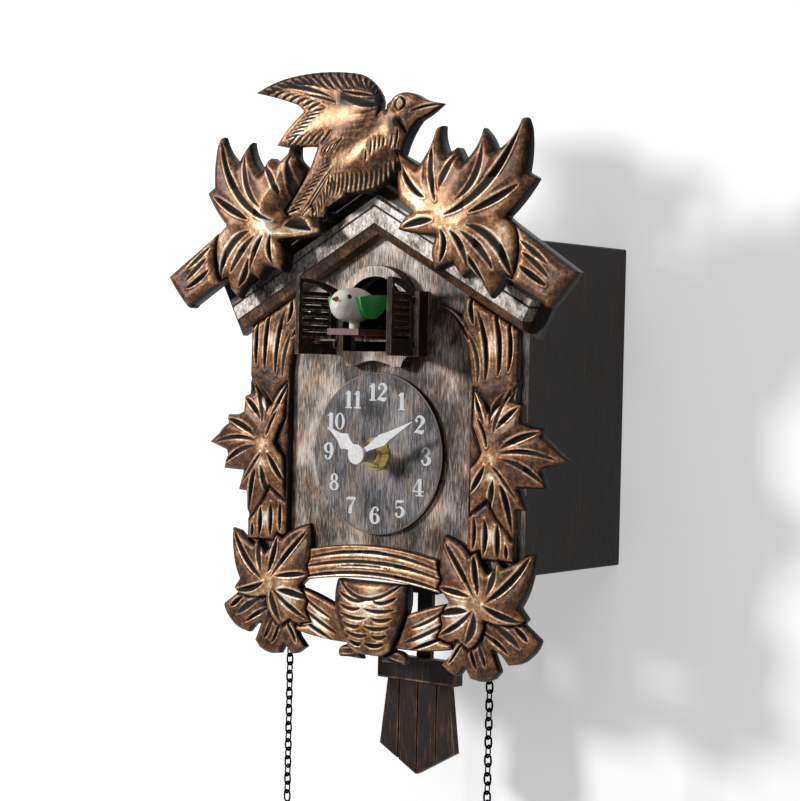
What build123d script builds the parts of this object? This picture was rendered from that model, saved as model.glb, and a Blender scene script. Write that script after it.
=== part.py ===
"""Wall-hung cuckoo clock with a moulded leaf front, louvred doors and a quartz movement.

The frame: the origin is the centre of the hanger hole, on the back face that lies against the
wall (y = 0). +X is to the viewer's right, +Z is up, and the clock's front looks along -Y.
Sketches on the front are drawn on planes from `facing`, whose own origin is the dial centre, so a
height there is measured from the dial's centre and a depth is measured out from the wall.
"""
import math
import os

from build123d import *

# ---------------------------------------------------------------- driving dimensions (mm)
# Case
CASE_WIDTH = 153.0
CASE_HEIGHT = 143.5
CASE_DEPTH = 77.0
CASE_WALL = 3.0
WINDOW_MARGIN = 26.0        # frame left round the opening in the case's front wall
SILL_DROP = 48.8            # door opening's sill below the top of the case
HANGER_DROP = 20.0          # hanger hole below the top of the case
CORNER_POST = 4.5           # radius of the four screw posts
CORNER_POST_INSET = 8.5     # post axis from the outside of the case
# Back cover
COVER_THICK = 3.0
FIT_GAP = 0.3               # gap all round a cover, lid or door in its frame
SEAT_GAP = 0.15             # joint line between two mouldings of the front
HANGER_RADIUS = 4.5
HANGER_SLOT = 4.6
HANGER_RISE = 9.0
KNOB_ACCESS_RADIUS = 9.0
LID_WIDTH = 62.0
LID_HEIGHT = 34.0
LID_THICK = 2.0
LID_RISE = 22.0             # battery lid's centre above the bottom of the case
BOX_DEPTH = 17.0
BATTERY_PITCH = 15.0        # between the two cells' axes
# Sound unit and its board, inside the back cover
SOUND_X = 42.0              # speaker and switch from the middle of the clock
SOUND_RISE = 28.0           # speaker and switch above the middle of the case
SPEAKER_RADIUS = 20.0
SPEAKER_DEPTH = 13.0
SWITCH_TRAVEL = 3.0
BOARD_DEPTH = 8.0           # board's back from the wall
BOARD_THICK = 1.6
BOARD_WIDTH = 44.0
BOARD_HEIGHT = 40.0
# Screws
SCREW_RADIUS = 1.5
SCREW_HEAD = 2.8
PANEL_SCREW_SPAN = 80.0     # between the two panel screws on each side
PANEL_SCREW_INSET = 16.0    # panel screws from the side of the case
PANEL_SCREW_DROP = 10.0     # their middle below the middle of the case
# Front
PANEL_THICK = 3.3
DIAL_LIFT = 1.85            # dial centre above the middle of the space under the sill
DIAL_MARGIN = 11.35         # clear of that space's ends, if the dial were in its middle
DIAL_THICK = 2.7
DIAL_CHAMFER = 0.6
# Movement and hands
MOVEMENT_SIDE = 56.0
MOVEMENT_DEPTH = 16.0
BUSH_RADIUS = 3.9
BUSH_PROUD = 4.6            # bush standing out of the dial
WASHER_RADIUS = 7.35
WASHER_THICK = 0.7
NUT_FLATS = 11.0
NUT_THICK = 2.8
SHAFT_RADIUS = 1.2          # minute shaft
HOUR_PIPE_RADIUS = 1.95     # hour pipe inside the bush
TUBE_RADIUS = 3.3           # long collar of the hour hand
RUNNING_FIT = 0.05
HAND_THICK = 1.0
HAND_GAP = 0.4
HANDS_PROUD = 14.0          # cap face in front of the dial
HOUR_REACH = 0.536          # hand tips, as parts of the dial's radius
MINUTE_REACH = 0.944
HOUR_ANGLE = 306.0          # clockwise from twelve
MINUTE_ANGLE = 62.6
KNOB_RADIUS = 6.0
KNOB_DEPTH = 4.0
# Roof
ROOF_PITCH = 28.4           # degrees
ROOF_RISE = 2.3             # underside of the ridge above the top of the case
ROOF_OVERHANG = 0.8         # beyond the side of the case, at the underside
ROOF_STEP = 22.0            # full width of a roof board
ROOF_BEVEL = 5.0            # copper lower edge
ROOF_FACE_WIDTH = 10.0
ROOF_PROUD = 7.7            # front of the roof board before the panel
ROOF_BACK_PROUD = 4.7       # upper step of the board
ROOF_GROOVE = 0.7
GABLE_LAP = 6.5             # gable plate beyond the tops and ends of the roof boards
# Door surround, doors
OPENING_HALF = 17.5
OPENING_RISE = 15.5         # arch springs above the sill
SURROUND_PROUD = 6.4
SURROUND_HALF = 25.0
SURROUND_FOOT = 2.0         # below the sill
SHOULDER_RISE = 26.7        # above the sill
SURROUND_RISE = 38.1
SURROUND_APRON = 6.9        # lowest edge below the sill
DOOR_PIVOT_X = 21.6
DOOR_THICK = 2.4
DOOR_HEIGHT = 33.8          # along the meeting edge
DOOR_HEEL_HEIGHT = 29.6
DOOR_DROP = 1.9             # lower edge below the sill
DOOR_OPEN = 101.0           # degrees that the doors stand open at rest
DOOR_STILE = 2.3
HINGE_STILE = 3.2
SLAT_TENON = 0.5            # slat end let into the stile
DOOR_RAIL = 7.2
SLAT_PITCH = 3.0
SLAT_COUNT = 7
PIN_RADIUS = 0.6
LUG_HEIGHT = 3.5
LUG_RISES = (3.1, 22.3)     # above the sill
# Cuckoo carriage
TRAVEL = 30.0
PLATFORM_HALF = 8.7
PLATFORM_RISE = 9.5         # platform's top above the sill
PLATFORM_THICK = 2.7
PLATFORM_PROUD = 28.3       # platform's front end before the panel
PLATFORM_LENGTH = 58.6
GUIDE_WALL = 2.2
GUIDE_SETBACK = 6.5         # guide's front end behind the front panel
GUIDE_LENGTH = 34.5
GUIDE_FOOT_WIDTH = 44.0
GUIDE_DROP = 18.3           # guide's floor below the platform
SLIDE_GAP = 0.1
GEAR_MODULE = 0.8
GEAR_TEETH = 15
GEAR_WIDTH = 4.0
GEAR_SETBACK = 15.0         # pinion's axle behind the front panel
BACKLASH = 0.2
MOTOR_RADIUS = 7.5
MOTOR_LENGTH = 19.0
CUCKOO_RADIUS = 7.7
CUCKOO_RISE = 10.3          # bird's axis above the platform
CUCKOO_PROUD = 5.4          # the bird's breast before the platform's end
CUCKOO_LENGTH = 30.0
LINK_REACH = 12.3           # link pin from the door's pivot, along the door
LINK_OFFSET = 3.2           # link pin from the door's mid plane
LINK_WIRE = 0.4
LINK_DROP = 5.0             # link wires below the platform's top
PEG_SETBACK = 6.0           # the link's free end behind the platform's end
PEG_X = 8.5
# Pendulum
PIVOT_HEIGHT = -20.0
ROD_SETBACK = 19.2          # back of the rod behind the movement
ROD_THICK = 2.4
ROD_WIDTH = 8.2
HANGER_WIDTH = 15.2
HANGER_FOOT = -65.4
BLOCK_TOP = -94.5
BLOCK_WIDTH = 45.0
BLOCK_HEIGHT = 11.0
BLOCK_THICK = 6.0
BOB_THICK = 4.0
BOB_TOP_WIDTH = 35.1
BOB_WIDTH = 42.9
BOB_DROP = 30.9             # block to the bob's widest line
BOB_POINT = 12.0
PLANK_COUNT = 4
SWING = 6.0
# Chains and weights
CHAIN_X = 56.7
CHAIN_SETBACK = 4.7         # chains behind the front panel
LINK_PITCH = 4.0
LINK_SLACK = 0.1
LINK_BAR = 1.1
LINK_WIDTH = 4.4
LINK_COUNT = 26
EYE_DROP = 6.0              # centre of the screw eye below the case
EYE_BAR_RADIUS = 0.9        # round seat in the eye that the first link turns on
EYE_BAR_DROP = 2.5
CONE_RADIUS = 13.5
CONE_TIER_HEIGHT = 6.4
CONE_SWELL = (0.5, 0.78, 0.95, 1.0, 0.96, 0.84, 0.64, 0.4)
CONE_TAPER = 17.0           # degrees that each ring of scales leans in
# Front ornaments, thickness above the panel
LEAF_CREST = 6.5
VINE_DROP = 93.3            # middle of the side leaf below the top of the case
LEAF_EDGE = 2.8
POST_THICK = 4.2
BAR_THICK = 4.6
BAR_WIDTH = 13.9
BAR_INSET = 20.0            # bar's end from the middle of a corner leaf
NEST_HALF = 20.0
NEST_DROP = 6.8             # top of the nest below the bottom of the case
NEST_DEPTH = 33.6
NEST_CREST = 9.5
# Crown
CROWN_CLEAR = 6.5           # back of the crown leaves before the roof's face
CROWN_CREST = 9.0
CROWN_EDGE = 4.2
STUB_CREST = 7.0
BOSS_RADIUS = 2.5
BIRD_CLEAR = 3.0            # back of the flying bird before the roof's face
BIRD_WING = 4.5
BIRD_RISE = 33.4            # bird's middle above the ridge's underside

# ---------------------------------------------------------------- derived places
DIAL_SPACE = (CASE_HEIGHT - SILL_DROP) / 2
DIAL_DROP = SILL_DROP + DIAL_SPACE - DIAL_LIFT
DIAL_RADIUS = DIAL_SPACE - DIAL_MARGIN
DIAL_Z = HANGER_DROP - DIAL_DROP
CASE_BOTTOM = DIAL_DROP - CASE_HEIGHT
CASE_MIDDLE = DIAL_DROP - CASE_HEIGHT / 2
CASE_HALF = CASE_WIDTH / 2
PANEL_FACE = CASE_DEPTH + PANEL_THICK
DIAL_FACE = PANEL_FACE + DIAL_THICK
HANDS_FRONT = DIAL_FACE + HANDS_PROUD
SURROUND_FACE = PANEL_FACE + SURROUND_PROUD
ROOF_APEX = DIAL_DROP + ROOF_RISE
OPENING_SILL = DIAL_DROP - SILL_DROP
OPENING_SPRING = OPENING_SILL + OPENING_RISE
SURROUND_BASE = OPENING_SILL - SURROUND_FOOT
SHOULDER = OPENING_SILL + SHOULDER_RISE
APRON = OPENING_SILL - SURROUND_APRON
DOOR_BASE = OPENING_SILL - DOOR_DROP
LUG_LEVELS = tuple(OPENING_SILL + rise for rise in LUG_RISES)
PLATFORM_TOP = OPENING_SILL + PLATFORM_RISE
CUCKOO_AXIS = PLATFORM_TOP + CUCKOO_RISE
LINK_LEVEL = PLATFORM_TOP - LINK_DROP
BIRD_HEIGHT = ROOF_APEX + BIRD_RISE
PITCH = math.radians(ROOF_PITCH)
ROOF_RUN = (CASE_HALF + ROOF_OVERHANG) / math.cos(PITCH)
VINE_X = CASE_HALF - 12.1
VINE_HEIGHT = DIAL_DROP - VINE_DROP
CORNER_X = CASE_HALF - 16.6
CORNER_HEIGHT = CASE_BOTTOM - 12.5
CROWN_X = CASE_HALF - 27.8
CROWN_HEIGHT = ROOF_APEX + 6.6
PIVOT_DEPTH = SURROUND_FACE + FIT_GAP + DOOR_THICK / 2
CROWN_BACK = PANEL_FACE + ROOF_PROUD + CROWN_CLEAR
BIRD_BACK = PANEL_FACE + ROOF_PROUD + BIRD_CLEAR
PLATFORM_FRONT = PANEL_FACE + PLATFORM_PROUD
CUCKOO_FRONT = PLATFORM_FRONT + CUCKOO_PROUD
PEG_DEPTH = PLATFORM_FRONT - PEG_SETBACK
GUIDE_FRONT = CASE_DEPTH - GUIDE_SETBACK
GUIDE_BACK = GUIDE_FRONT - GUIDE_LENGTH
GEAR_DEPTH = CASE_DEPTH - GEAR_SETBACK
ROD_BACK = CASE_DEPTH - MOVEMENT_DEPTH - ROD_SETBACK
CHAIN_DEPTH = CASE_DEPTH - CHAIN_SETBACK
NEST_TOP = CASE_BOTTOM - NEST_DROP
LID_LEVEL = CASE_BOTTOM + LID_RISE
SOUND_LEVEL = CASE_MIDDLE + SOUND_RISE
PANEL_SCREW_X = CASE_HALF - PANEL_SCREW_INSET
PANEL_SCREW_LEVEL = CASE_MIDDLE - PANEL_SCREW_DROP


# ---------------------------------------------------------------- helpers
def facing(depth, x=0.0, height=0.0):
    """Plane that looks at the viewer, `depth` from the wall, centred `height` above the dial."""
    return Plane((x, -depth, DIAL_Z + height), x_dir=(1, 0, 0), z_dir=(0, -1, 0))


def hand_plane(depth, angle):
    """Plane facing the viewer whose +Y points along a hand `angle` degrees past twelve."""
    sine, cosine = math.sin(math.radians(angle)), math.cos(math.radians(angle))
    return Plane((0, -depth, DIAL_Z), x_dir=(cosine, 0, -sine), z_dir=(0, -1, 0))


def level(height, x=0.0, depth=0.0):
    """Horizontal plane `height` above the dial centre, with its own +Y towards the wall."""
    return Plane((x, -depth, DIAL_Z + height), x_dir=(1, 0, 0), z_dir=(0, 0, 1))


def outline(corners, mode=Mode.ADD):
    """Face from a clockwise chain of corners; a third number bows the edge that follows out."""
    with BuildLine() as chain:
        for here, there in zip(corners, corners[1:] + corners[:1]):
            if len(here) == 3:
                SagittaArc(here[:2], there[:2], here[2])
            else:
                Line(here[:2], there[:2])
    make_face(chain.edges(), mode=mode)


def dome(x, height, crest, edge, reach):
    """Trim the part under construction to a shallow dome, `edge` high at `reach` from its top."""
    rise = crest - edge
    radius = (reach**2 + rise**2) / (2 * rise)
    with Locations((x, radius - crest, DIAL_Z + height)):
        Sphere(radius, mode=Mode.INTERSECT)


def roof_side(grow=0.0):
    """Right-hand roof board seen from the front, `grow` larger at the underside and end."""
    foot = ROOF_RUN + grow
    sine, cosine = math.sin(PITCH), math.cos(PITCH)
    drop = grow / cosine
    start = (0, ROOF_APEX - drop)
    end = (foot * cosine - grow * sine, ROOF_APEX - foot * sine - grow * cosine)
    far = (end[0] + ROOF_STEP * sine, end[1] + ROOF_STEP * cosine)
    outline([start, (0, ROOF_APEX + ROOF_STEP / cosine), far, end])


# ---------------------------------------------------------------- outlines
# Drawn clockwise from the top, measured from the centre where the veins meet.
SIDE_LEAF = [
    (11.8, 33.0), (7.6, 24.6), (13.6, 23.0), (13.8, 15.6, -0.8), (24.5, 13.8), (23.8, 9.8, 0.5),
    (30.0, 5.0), (37.1, 0.2), (24.4, -3.3), (23.9, -5.0), (26.6, -11.9), (12.9, -12.2),
    (16.9, -21.6), (11.8, -21.7), (12.1, -30.0), (9.8, -35.0), (1.6, -25.6), (-2.9, -18.0),
    (-12.4, -25.0), (-11.9, -5.0, -0.5), (-6.0, 2.0, -0.5), (-11.4, 13.0), (-12.1, 30.0, 1.0),
    (-3.2, 19.2, -1.2),
]
SIDE_POST = [
    (-14.0, 71.5), (10.9, 60.0), (10.9, -44.0), (-13.8, -44.0), (-13.8, 32.0, -0.6),
    (-16.7, 49.0, -1.5), (-32.9, 66.0, 0.6), (-19.4, 60.2), (-17.4, 67.5),
]
CORNER_LEAF = [
    (-21.9, 28.3, 0.6), (-10.3, 23.9), (-6.9, 20.7), (-3.0, 22.4, -0.6), (2.6, 13.5, -0.6),
    (7.6, 19.2), (10.5, 16.7, -0.6), (20.1, 22.2), (25.7, 23.3, 0.5), (24.1, 11.7, 0.6),
    (18.8, -0.1), (22.8, -4.5, 1.0), (16.1, -7.8, 0.4), (6.6, -7.9), (1.3, -6.8, 0.6),
    (0.1, -13.3, 1.0), (-6.6, -20.3), (-12.7, -16.6, 0.6), (-18.4, -18.5), (-24.9, -17.1, -0.4),
    (-21.4, -10.3), (-22.4, -7.3), (-18.0, -0.3), (-23.7, 4.9), (-21.9, 9.2, 0.3),
    (-23.7, 12.7, 1.0),
]
CORNER_ROOTS = [
    (0.1, -2.3), (20.8, -6.6), (29.5, -12.8, 0.8), (24.6, -20.3, 0.6), (17.6, -24.3),
    (13.4, -25.1), (9.8, -21.3), (5.5, -19.3), (9.5, -28.1), (6.5, -31.5, 0.5), (-1.1, -33.6),
    (-6.1, -32.9), (-8.9, -28.3), (-12.4, -32.3, 0.6), (-17.9, -30.8), (-21.7, -28.3),
    (-17.2, -23.8), (-9.9, -8.3),
]
CROWN_LEAF = [
    (33.3, 39.6, 0.6), (37.3, 39.6, 0.4), (39.3, 33.3, 0.6), (38.5, 17.2), (43.6, 14.5, 0.8),
    (29.3, -1.2, 1.2), (35.3, -8.7, 1.6), (32.8, -26.9), (28.9, -25.4), (26.1, -31.2),
    (21.5, -34.9), (16.8, -27.7), (12.7, -23.7), (8.1, -26.4), (3.3, -20.4, -0.6),
    (-6.2, -23.4), (-7.9, -17.2, 0.8), (-5.4, -8.5, 0.6), (-26.9, -5.3, 1.6), (-18.3, 2.0),
    (-25.5, 6.3, 1.2), (-27.9, 20.8), (-26.3, 21.0), (-29.7, 28.8), (-16.4, 22.3, -1.2),
    (-9.0, 36.6, 0.8), (-4.8, 38.6, -1.2), (-1.5, 26.2), (3.7, 29.1), (7.6, 22.7, -1.6),
    (15.7, 37.0, 0.8), (23.0, 27.0, -1.6),
]
CROWN_BRANCH = [
    (20.0, 3.0), (29.3, -1.2), (65.3, -24.4, 0.6), (52.5, -39.0, 0.8), (49.0, -37.8),
    (32.0, -27.8), (12.0, -16.0),
]
FLYING_BIRD = [
    (21.2, 27.5, 0.8), (30.0, 24.6, -0.4), (40.8, 21.9, 0.5), (29.2, 15.0, -0.6),
    (21.9, 3.5, 0.8), (14.6, -8.1, 1.0), (3.1, -14.2, 0.4), (-12.3, -15.8), (-20.0, -18.8),
    (-22.8, -26.0), (-44.0, -25.2), (-46.6, -21.8), (-40.2, -13.6), (-32.0, -2.2), (-28.4, 6.4),
    (-46.9, 6.9),
    (-52.7, 8.1, 1.0), (-36.9, 22.7), (-40.8, 25.8, -0.4), (-66.2, 32.7, 1.2),
    (-40.8, 39.2, 1.2), (-6.2, 37.7, 1.8), (7.3, 26.5, 0.6), (6.9, 18.8, -0.8),
    (10.0, 16.2, -0.6), (15.4, 25.0, 0.6),
]
SIDE_SURROUND = [
    (0, OPENING_SILL + SURROUND_RISE, 3.2), (18.5, SHOULDER), (SURROUND_HALF, SHOULDER),
    (SURROUND_HALF, SURROUND_BASE), (19.5, SURROUND_BASE, -0.8), (15.5, APRON), (10.5, APRON, -0.5),
    (0, APRON + 2.7),
]

# ---------------------------------------------------------------- case and back
with BuildPart() as case:
    with BuildSketch(facing(0, height=CASE_MIDDLE)):
        RectangleRounded(CASE_WIDTH, CASE_HEIGHT, 1.0)
    extrude(amount=CASE_DEPTH)
    with BuildSketch(facing(0, height=CASE_MIDDLE)):
        Rectangle(CASE_WIDTH - 2 * CASE_WALL, CASE_HEIGHT - 2 * CASE_WALL)
    extrude(amount=CASE_DEPTH - CASE_WALL, mode=Mode.SUBTRACT)
    with BuildSketch(facing(CASE_DEPTH, height=CASE_MIDDLE)):
        RectangleRounded(CASE_WIDTH - 2 * WINDOW_MARGIN, CASE_HEIGHT - WINDOW_MARGIN, 6.0)
    extrude(amount=-CASE_WALL, mode=Mode.SUBTRACT)
    with BuildSketch(facing(COVER_THICK, height=CASE_MIDDLE)):
        with GridLocations(CASE_WIDTH - 2 * CORNER_POST_INSET, CASE_HEIGHT - 2 * CORNER_POST_INSET,
                           2, 2):
            Circle(CORNER_POST)
    extrude(amount=CASE_DEPTH - CASE_WALL - COVER_THICK)
    with BuildSketch(facing(COVER_THICK, height=CASE_MIDDLE)):
        with GridLocations(CASE_WIDTH - 2 * CORNER_POST_INSET, CASE_HEIGHT - 2 * CORNER_POST_INSET,
                           2, 2):
            Circle(SCREW_RADIUS + RUNNING_FIT)
    extrude(amount=10.5, mode=Mode.SUBTRACT)
    with BuildSketch(level(CASE_BOTTOM, depth=ROD_BACK + ROD_THICK / 2)):
        RectangleRounded(HANGER_WIDTH + 12.0, 10.0, 2.0)
    extrude(amount=CASE_WALL, mode=Mode.SUBTRACT)
    for side in (-1, 1):
        with BuildSketch(level(CASE_BOTTOM, x=side * CHAIN_X, depth=CHAIN_DEPTH)):
            Circle(1.0 + RUNNING_FIT)
        extrude(amount=CASE_WALL, mode=Mode.SUBTRACT)
        with BuildSketch(facing(CASE_DEPTH, x=side * PANEL_SCREW_X, height=PANEL_SCREW_LEVEL)):
            with GridLocations(1, PANEL_SCREW_SPAN, 1, 2):
                Circle(SCREW_RADIUS + RUNNING_FIT)
        extrude(amount=-CASE_WALL, mode=Mode.SUBTRACT)
case.part.label = "case"

COVER_WIDTH = CASE_WIDTH - 2 * (CASE_WALL + FIT_GAP)
COVER_HEIGHT = CASE_HEIGHT - 2 * (CASE_WALL + FIT_GAP)
with BuildPart() as back_cover:
    with BuildSketch(facing(0, height=CASE_MIDDLE)):
        Rectangle(COVER_WIDTH, COVER_HEIGHT)
        with GridLocations(CASE_WIDTH - 2 * CORNER_POST_INSET, CASE_HEIGHT - 2 * CORNER_POST_INSET,
                           2, 2):
            Circle(SCREW_RADIUS + 0.1, mode=Mode.SUBTRACT)
    extrude(amount=COVER_THICK)
    with BuildSketch(facing(0, height=CASE_MIDDLE)):
        with GridLocations(CASE_WIDTH - 2 * CORNER_POST_INSET, CASE_HEIGHT - 2 * CORNER_POST_INSET,
                           2, 2):
            Circle(SCREW_HEAD + FIT_GAP)
    extrude(amount=1.9, mode=Mode.SUBTRACT)
    with BuildSketch(facing(0)):
        with Locations((0, -DIAL_Z)):
            Circle(HANGER_RADIUS)
        with Locations((0, -DIAL_Z + HANGER_RISE / 2)):
            SlotCenterToCenter(HANGER_RISE, HANGER_SLOT, rotation=90)
        Circle(KNOB_ACCESS_RADIUS)
    extrude(amount=COVER_THICK, mode=Mode.SUBTRACT)
    # Rebate and opening for the battery lid
    with BuildSketch(facing(0, height=LID_LEVEL)):
        Rectangle(LID_WIDTH + 2 * FIT_GAP, LID_HEIGHT + 2 * FIT_GAP)
    extrude(amount=LID_THICK + 0.2, mode=Mode.SUBTRACT)
    with BuildSketch(facing(0, height=LID_LEVEL)):
        Rectangle(LID_WIDTH - 6.0, LID_HEIGHT - 5.0)
    extrude(amount=COVER_THICK, mode=Mode.SUBTRACT)
    # Sound slots
    with BuildSketch(facing(0, x=SOUND_X, height=SOUND_LEVEL)):
        for row, length in ((-2, 18.0), (-1, 26.0), (0, 30.0), (1, 26.0), (2, 18.0)):
            with Locations((0, 6.0 * row)):
                Rectangle(length, 2.4)
    extrude(amount=COVER_THICK, mode=Mode.SUBTRACT)
    # Pocket and slot of the sound switch
    with BuildSketch(facing(0, x=-SOUND_X, height=SOUND_LEVEL)):
        Rectangle(16.0, 8.0)
    extrude(amount=1.6, mode=Mode.SUBTRACT)
    with BuildSketch(facing(0, x=-SOUND_X, height=SOUND_LEVEL)):
        Rectangle(10.0, 3.0)
    extrude(amount=COVER_THICK, mode=Mode.SUBTRACT)
back_cover.part.label = "back_cover"

with BuildPart() as cover_screws:
    with BuildSketch(facing(0.3, height=CASE_MIDDLE)):
        with GridLocations(CASE_WIDTH - 2 * CORNER_POST_INSET, CASE_HEIGHT - 2 * CORNER_POST_INSET,
                           2, 2):
            Circle(SCREW_HEAD)
    extrude(amount=1.6)
    with BuildSketch(facing(1.9, height=CASE_MIDDLE)):
        with GridLocations(CASE_WIDTH - 2 * CORNER_POST_INSET, CASE_HEIGHT - 2 * CORNER_POST_INSET,
                           2, 2):
            Circle(SCREW_RADIUS)
    extrude(amount=9.0)
cover_screws.part.label = "cover_screws"

with BuildPart() as battery_lid:
    with BuildSketch(facing(0.1, height=LID_LEVEL + LID_THICK / 4)):
        Rectangle(LID_WIDTH, LID_HEIGHT - LID_THICK / 2)
    extrude(amount=LID_THICK)
    with BuildSketch(Plane((-LID_WIDTH / 2, -0.1 - LID_THICK / 2, DIAL_Z + LID_LEVEL
                            - LID_HEIGHT / 2 + LID_THICK / 2), x_dir=(0, 1, 0), z_dir=(1, 0, 0))):
        Circle(LID_THICK / 2)
    extrude(amount=LID_WIDTH)
    with BuildSketch(facing(0.1, height=LID_LEVEL + LID_HEIGHT / 2 - 5.0)):
        SlotOverall(14.0, 2.4)
    extrude(amount=0.8, mode=Mode.SUBTRACT)
battery_lid.part.label = "battery_lid"

with BuildPart() as battery_box:
    with BuildSketch(facing(COVER_THICK, height=LID_LEVEL)):
        Rectangle(LID_WIDTH + 3.0, LID_HEIGHT + 2.0)
    extrude(amount=BOX_DEPTH)
    with BuildSketch(facing(COVER_THICK, height=LID_LEVEL)):
        Rectangle(LID_WIDTH - 2.0, LID_HEIGHT - 3.0)
    extrude(amount=BOX_DEPTH - 1.5, mode=Mode.SUBTRACT)
battery_box.part.label = "battery_box"

with BuildPart() as battery_contacts:
    for side in (-1, 1):
        with BuildSketch(facing(COVER_THICK + 3.0, x=side * (LID_WIDTH / 2 - 1.5), height=LID_LEVEL)):
            with GridLocations(1, BATTERY_PITCH, 1, 2):
                Rectangle(0.9, 9.0)
        extrude(amount=9.0)
battery_contacts.part.label = "battery_contacts"

with BuildPart() as sound_switch:
    with BuildSketch(facing(0.3, x=-SOUND_X - SWITCH_TRAVEL / 2, height=SOUND_LEVEL)):
        Rectangle(8.0, 5.0)
    extrude(amount=1.1)
    with BuildSketch(facing(0.3, x=-SOUND_X - SWITCH_TRAVEL / 2, height=SOUND_LEVEL)):
        with GridLocations(2.0, 1, 3, 1):
            Rectangle(0.7, 5.0)
    extrude(amount=0.4, mode=Mode.SUBTRACT)
    with BuildSketch(facing(1.4, x=-SOUND_X - SWITCH_TRAVEL / 2, height=SOUND_LEVEL)):
        Rectangle(5.0, 2.4)
    extrude(amount=3.4)
sound_switch.part.label = "sound_switch"

with BuildPart() as circuit_board:
    with BuildSketch(facing(BOARD_DEPTH, x=-SOUND_X, height=SOUND_LEVEL - 6.0)):
        Rectangle(BOARD_WIDTH, BOARD_HEIGHT)
    extrude(amount=BOARD_THICK)
    with BuildSketch(facing(COVER_THICK, x=-SOUND_X, height=SOUND_LEVEL - 6.0)):
        with GridLocations(BOARD_WIDTH - 6.0, BOARD_HEIGHT - 6.0, 2, 2):
            Circle(2.0)
    extrude(amount=BOARD_DEPTH - COVER_THICK)
    with BuildSketch(facing(BOARD_DEPTH + BOARD_THICK, x=-SOUND_X, height=SOUND_LEVEL - 10.0)):
        with GridLocations(0.4 * BOARD_WIDTH, 1, 2, 1):
            Rectangle(0.25 * BOARD_WIDTH, 0.35 * BOARD_HEIGHT)
    extrude(amount=2.2)
    with BuildSketch(facing(BOARD_DEPTH, x=-SOUND_X, height=SOUND_LEVEL)):
        Rectangle(12.0, 6.0)
    extrude(amount=-2.6)
circuit_board.part.label = "circuit_board"

with BuildPart() as speaker:
    with BuildSketch(facing(COVER_THICK, x=SOUND_X, height=SOUND_LEVEL)):
        Circle(SPEAKER_RADIUS)
    extrude(amount=1.5)
    with BuildSketch(facing(COVER_THICK + 1.5, x=SOUND_X, height=SOUND_LEVEL)):
        Circle(0.9 * SPEAKER_RADIUS)
    extrude(amount=SPEAKER_DEPTH - 7.0, taper=38)
    with BuildSketch(facing(COVER_THICK + SPEAKER_DEPTH - 5.5, x=SOUND_X, height=SOUND_LEVEL)):
        Circle(0.55 * SPEAKER_RADIUS)
    extrude(amount=5.5)
    with BuildSketch(facing(COVER_THICK, x=SOUND_X, height=SOUND_LEVEL)):
        Circle(0.85 * SPEAKER_RADIUS)
    extrude(amount=3.0, taper=20, mode=Mode.SUBTRACT)
speaker.part.label = "speaker"

# ---------------------------------------------------------------- front panel and dial
# The panel widens into a gable plate, which stands out behind the roof boards on all sides.
with BuildPart() as front_panel:
    sine, cosine = math.sin(PITCH), math.cos(PITCH)
    eaves = ROOF_APEX - CASE_HALF * math.tan(PITCH)
    plate = ROOF_STEP + GABLE_LAP
    end = ((ROOF_RUN + GABLE_LAP) * cosine, ROOF_APEX - (ROOF_RUN + GABLE_LAP) * sine)
    with BuildSketch(facing(CASE_DEPTH)):
        outline([(0, ROOF_APEX + plate / cosine), (end[0] + plate * sine, end[1] + plate * cosine),
                 end, (CASE_HALF, eaves), (CASE_HALF, CASE_BOTTOM), (0, CASE_BOTTOM)])
        mirror(about=Plane.YZ)
        Circle(BUSH_RADIUS + RUNNING_FIT, mode=Mode.SUBTRACT)
        outline([(0, OPENING_SPRING + OPENING_HALF, OPENING_HALF * (1 - math.sqrt(0.5))),
                 (OPENING_HALF, OPENING_SPRING), (OPENING_HALF, OPENING_SILL),
                 (-OPENING_HALF, OPENING_SILL),
                 (-OPENING_HALF, OPENING_SPRING, OPENING_HALF * (1 - math.sqrt(0.5)))],
                mode=Mode.SUBTRACT)
    extrude(amount=PANEL_THICK)
    for side in (-1, 1):
        with BuildSketch(facing(CASE_DEPTH, x=side * PANEL_SCREW_X, height=PANEL_SCREW_LEVEL)):
            with GridLocations(1, PANEL_SCREW_SPAN, 1, 2):
                Circle(SCREW_RADIUS + RUNNING_FIT)
        extrude(amount=PANEL_THICK - 0.8, mode=Mode.SUBTRACT)
front_panel.part.label = "front_panel"

with BuildPart() as panel_screws:
    for side in (-1, 1):
        with BuildSketch(facing(CASE_DEPTH - CASE_WALL, x=side * PANEL_SCREW_X,
                                height=PANEL_SCREW_LEVEL)):
            with GridLocations(1, PANEL_SCREW_SPAN, 1, 2):
                Circle(SCREW_RADIUS)
        extrude(amount=CASE_WALL + PANEL_THICK - 1.0)
        with BuildSketch(facing(CASE_DEPTH - CASE_WALL, x=side * PANEL_SCREW_X,
                                height=PANEL_SCREW_LEVEL)):
            with GridLocations(1, PANEL_SCREW_SPAN, 1, 2):
                Circle(SCREW_HEAD)
        extrude(amount=-1.8)
panel_screws.part.label = "panel_screws"

with BuildPart() as dial:
    with BuildSketch(facing(PANEL_FACE)):
        Circle(DIAL_RADIUS)
        Circle(BUSH_RADIUS + RUNNING_FIT, mode=Mode.SUBTRACT)
    extrude(amount=DIAL_THICK)
    chamfer(dial.faces().sort_by(Axis.Y)[0].edges().sort_by(SortBy.LENGTH)[-1], DIAL_CHAMFER)
dial.part.label = "dial"

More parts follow.
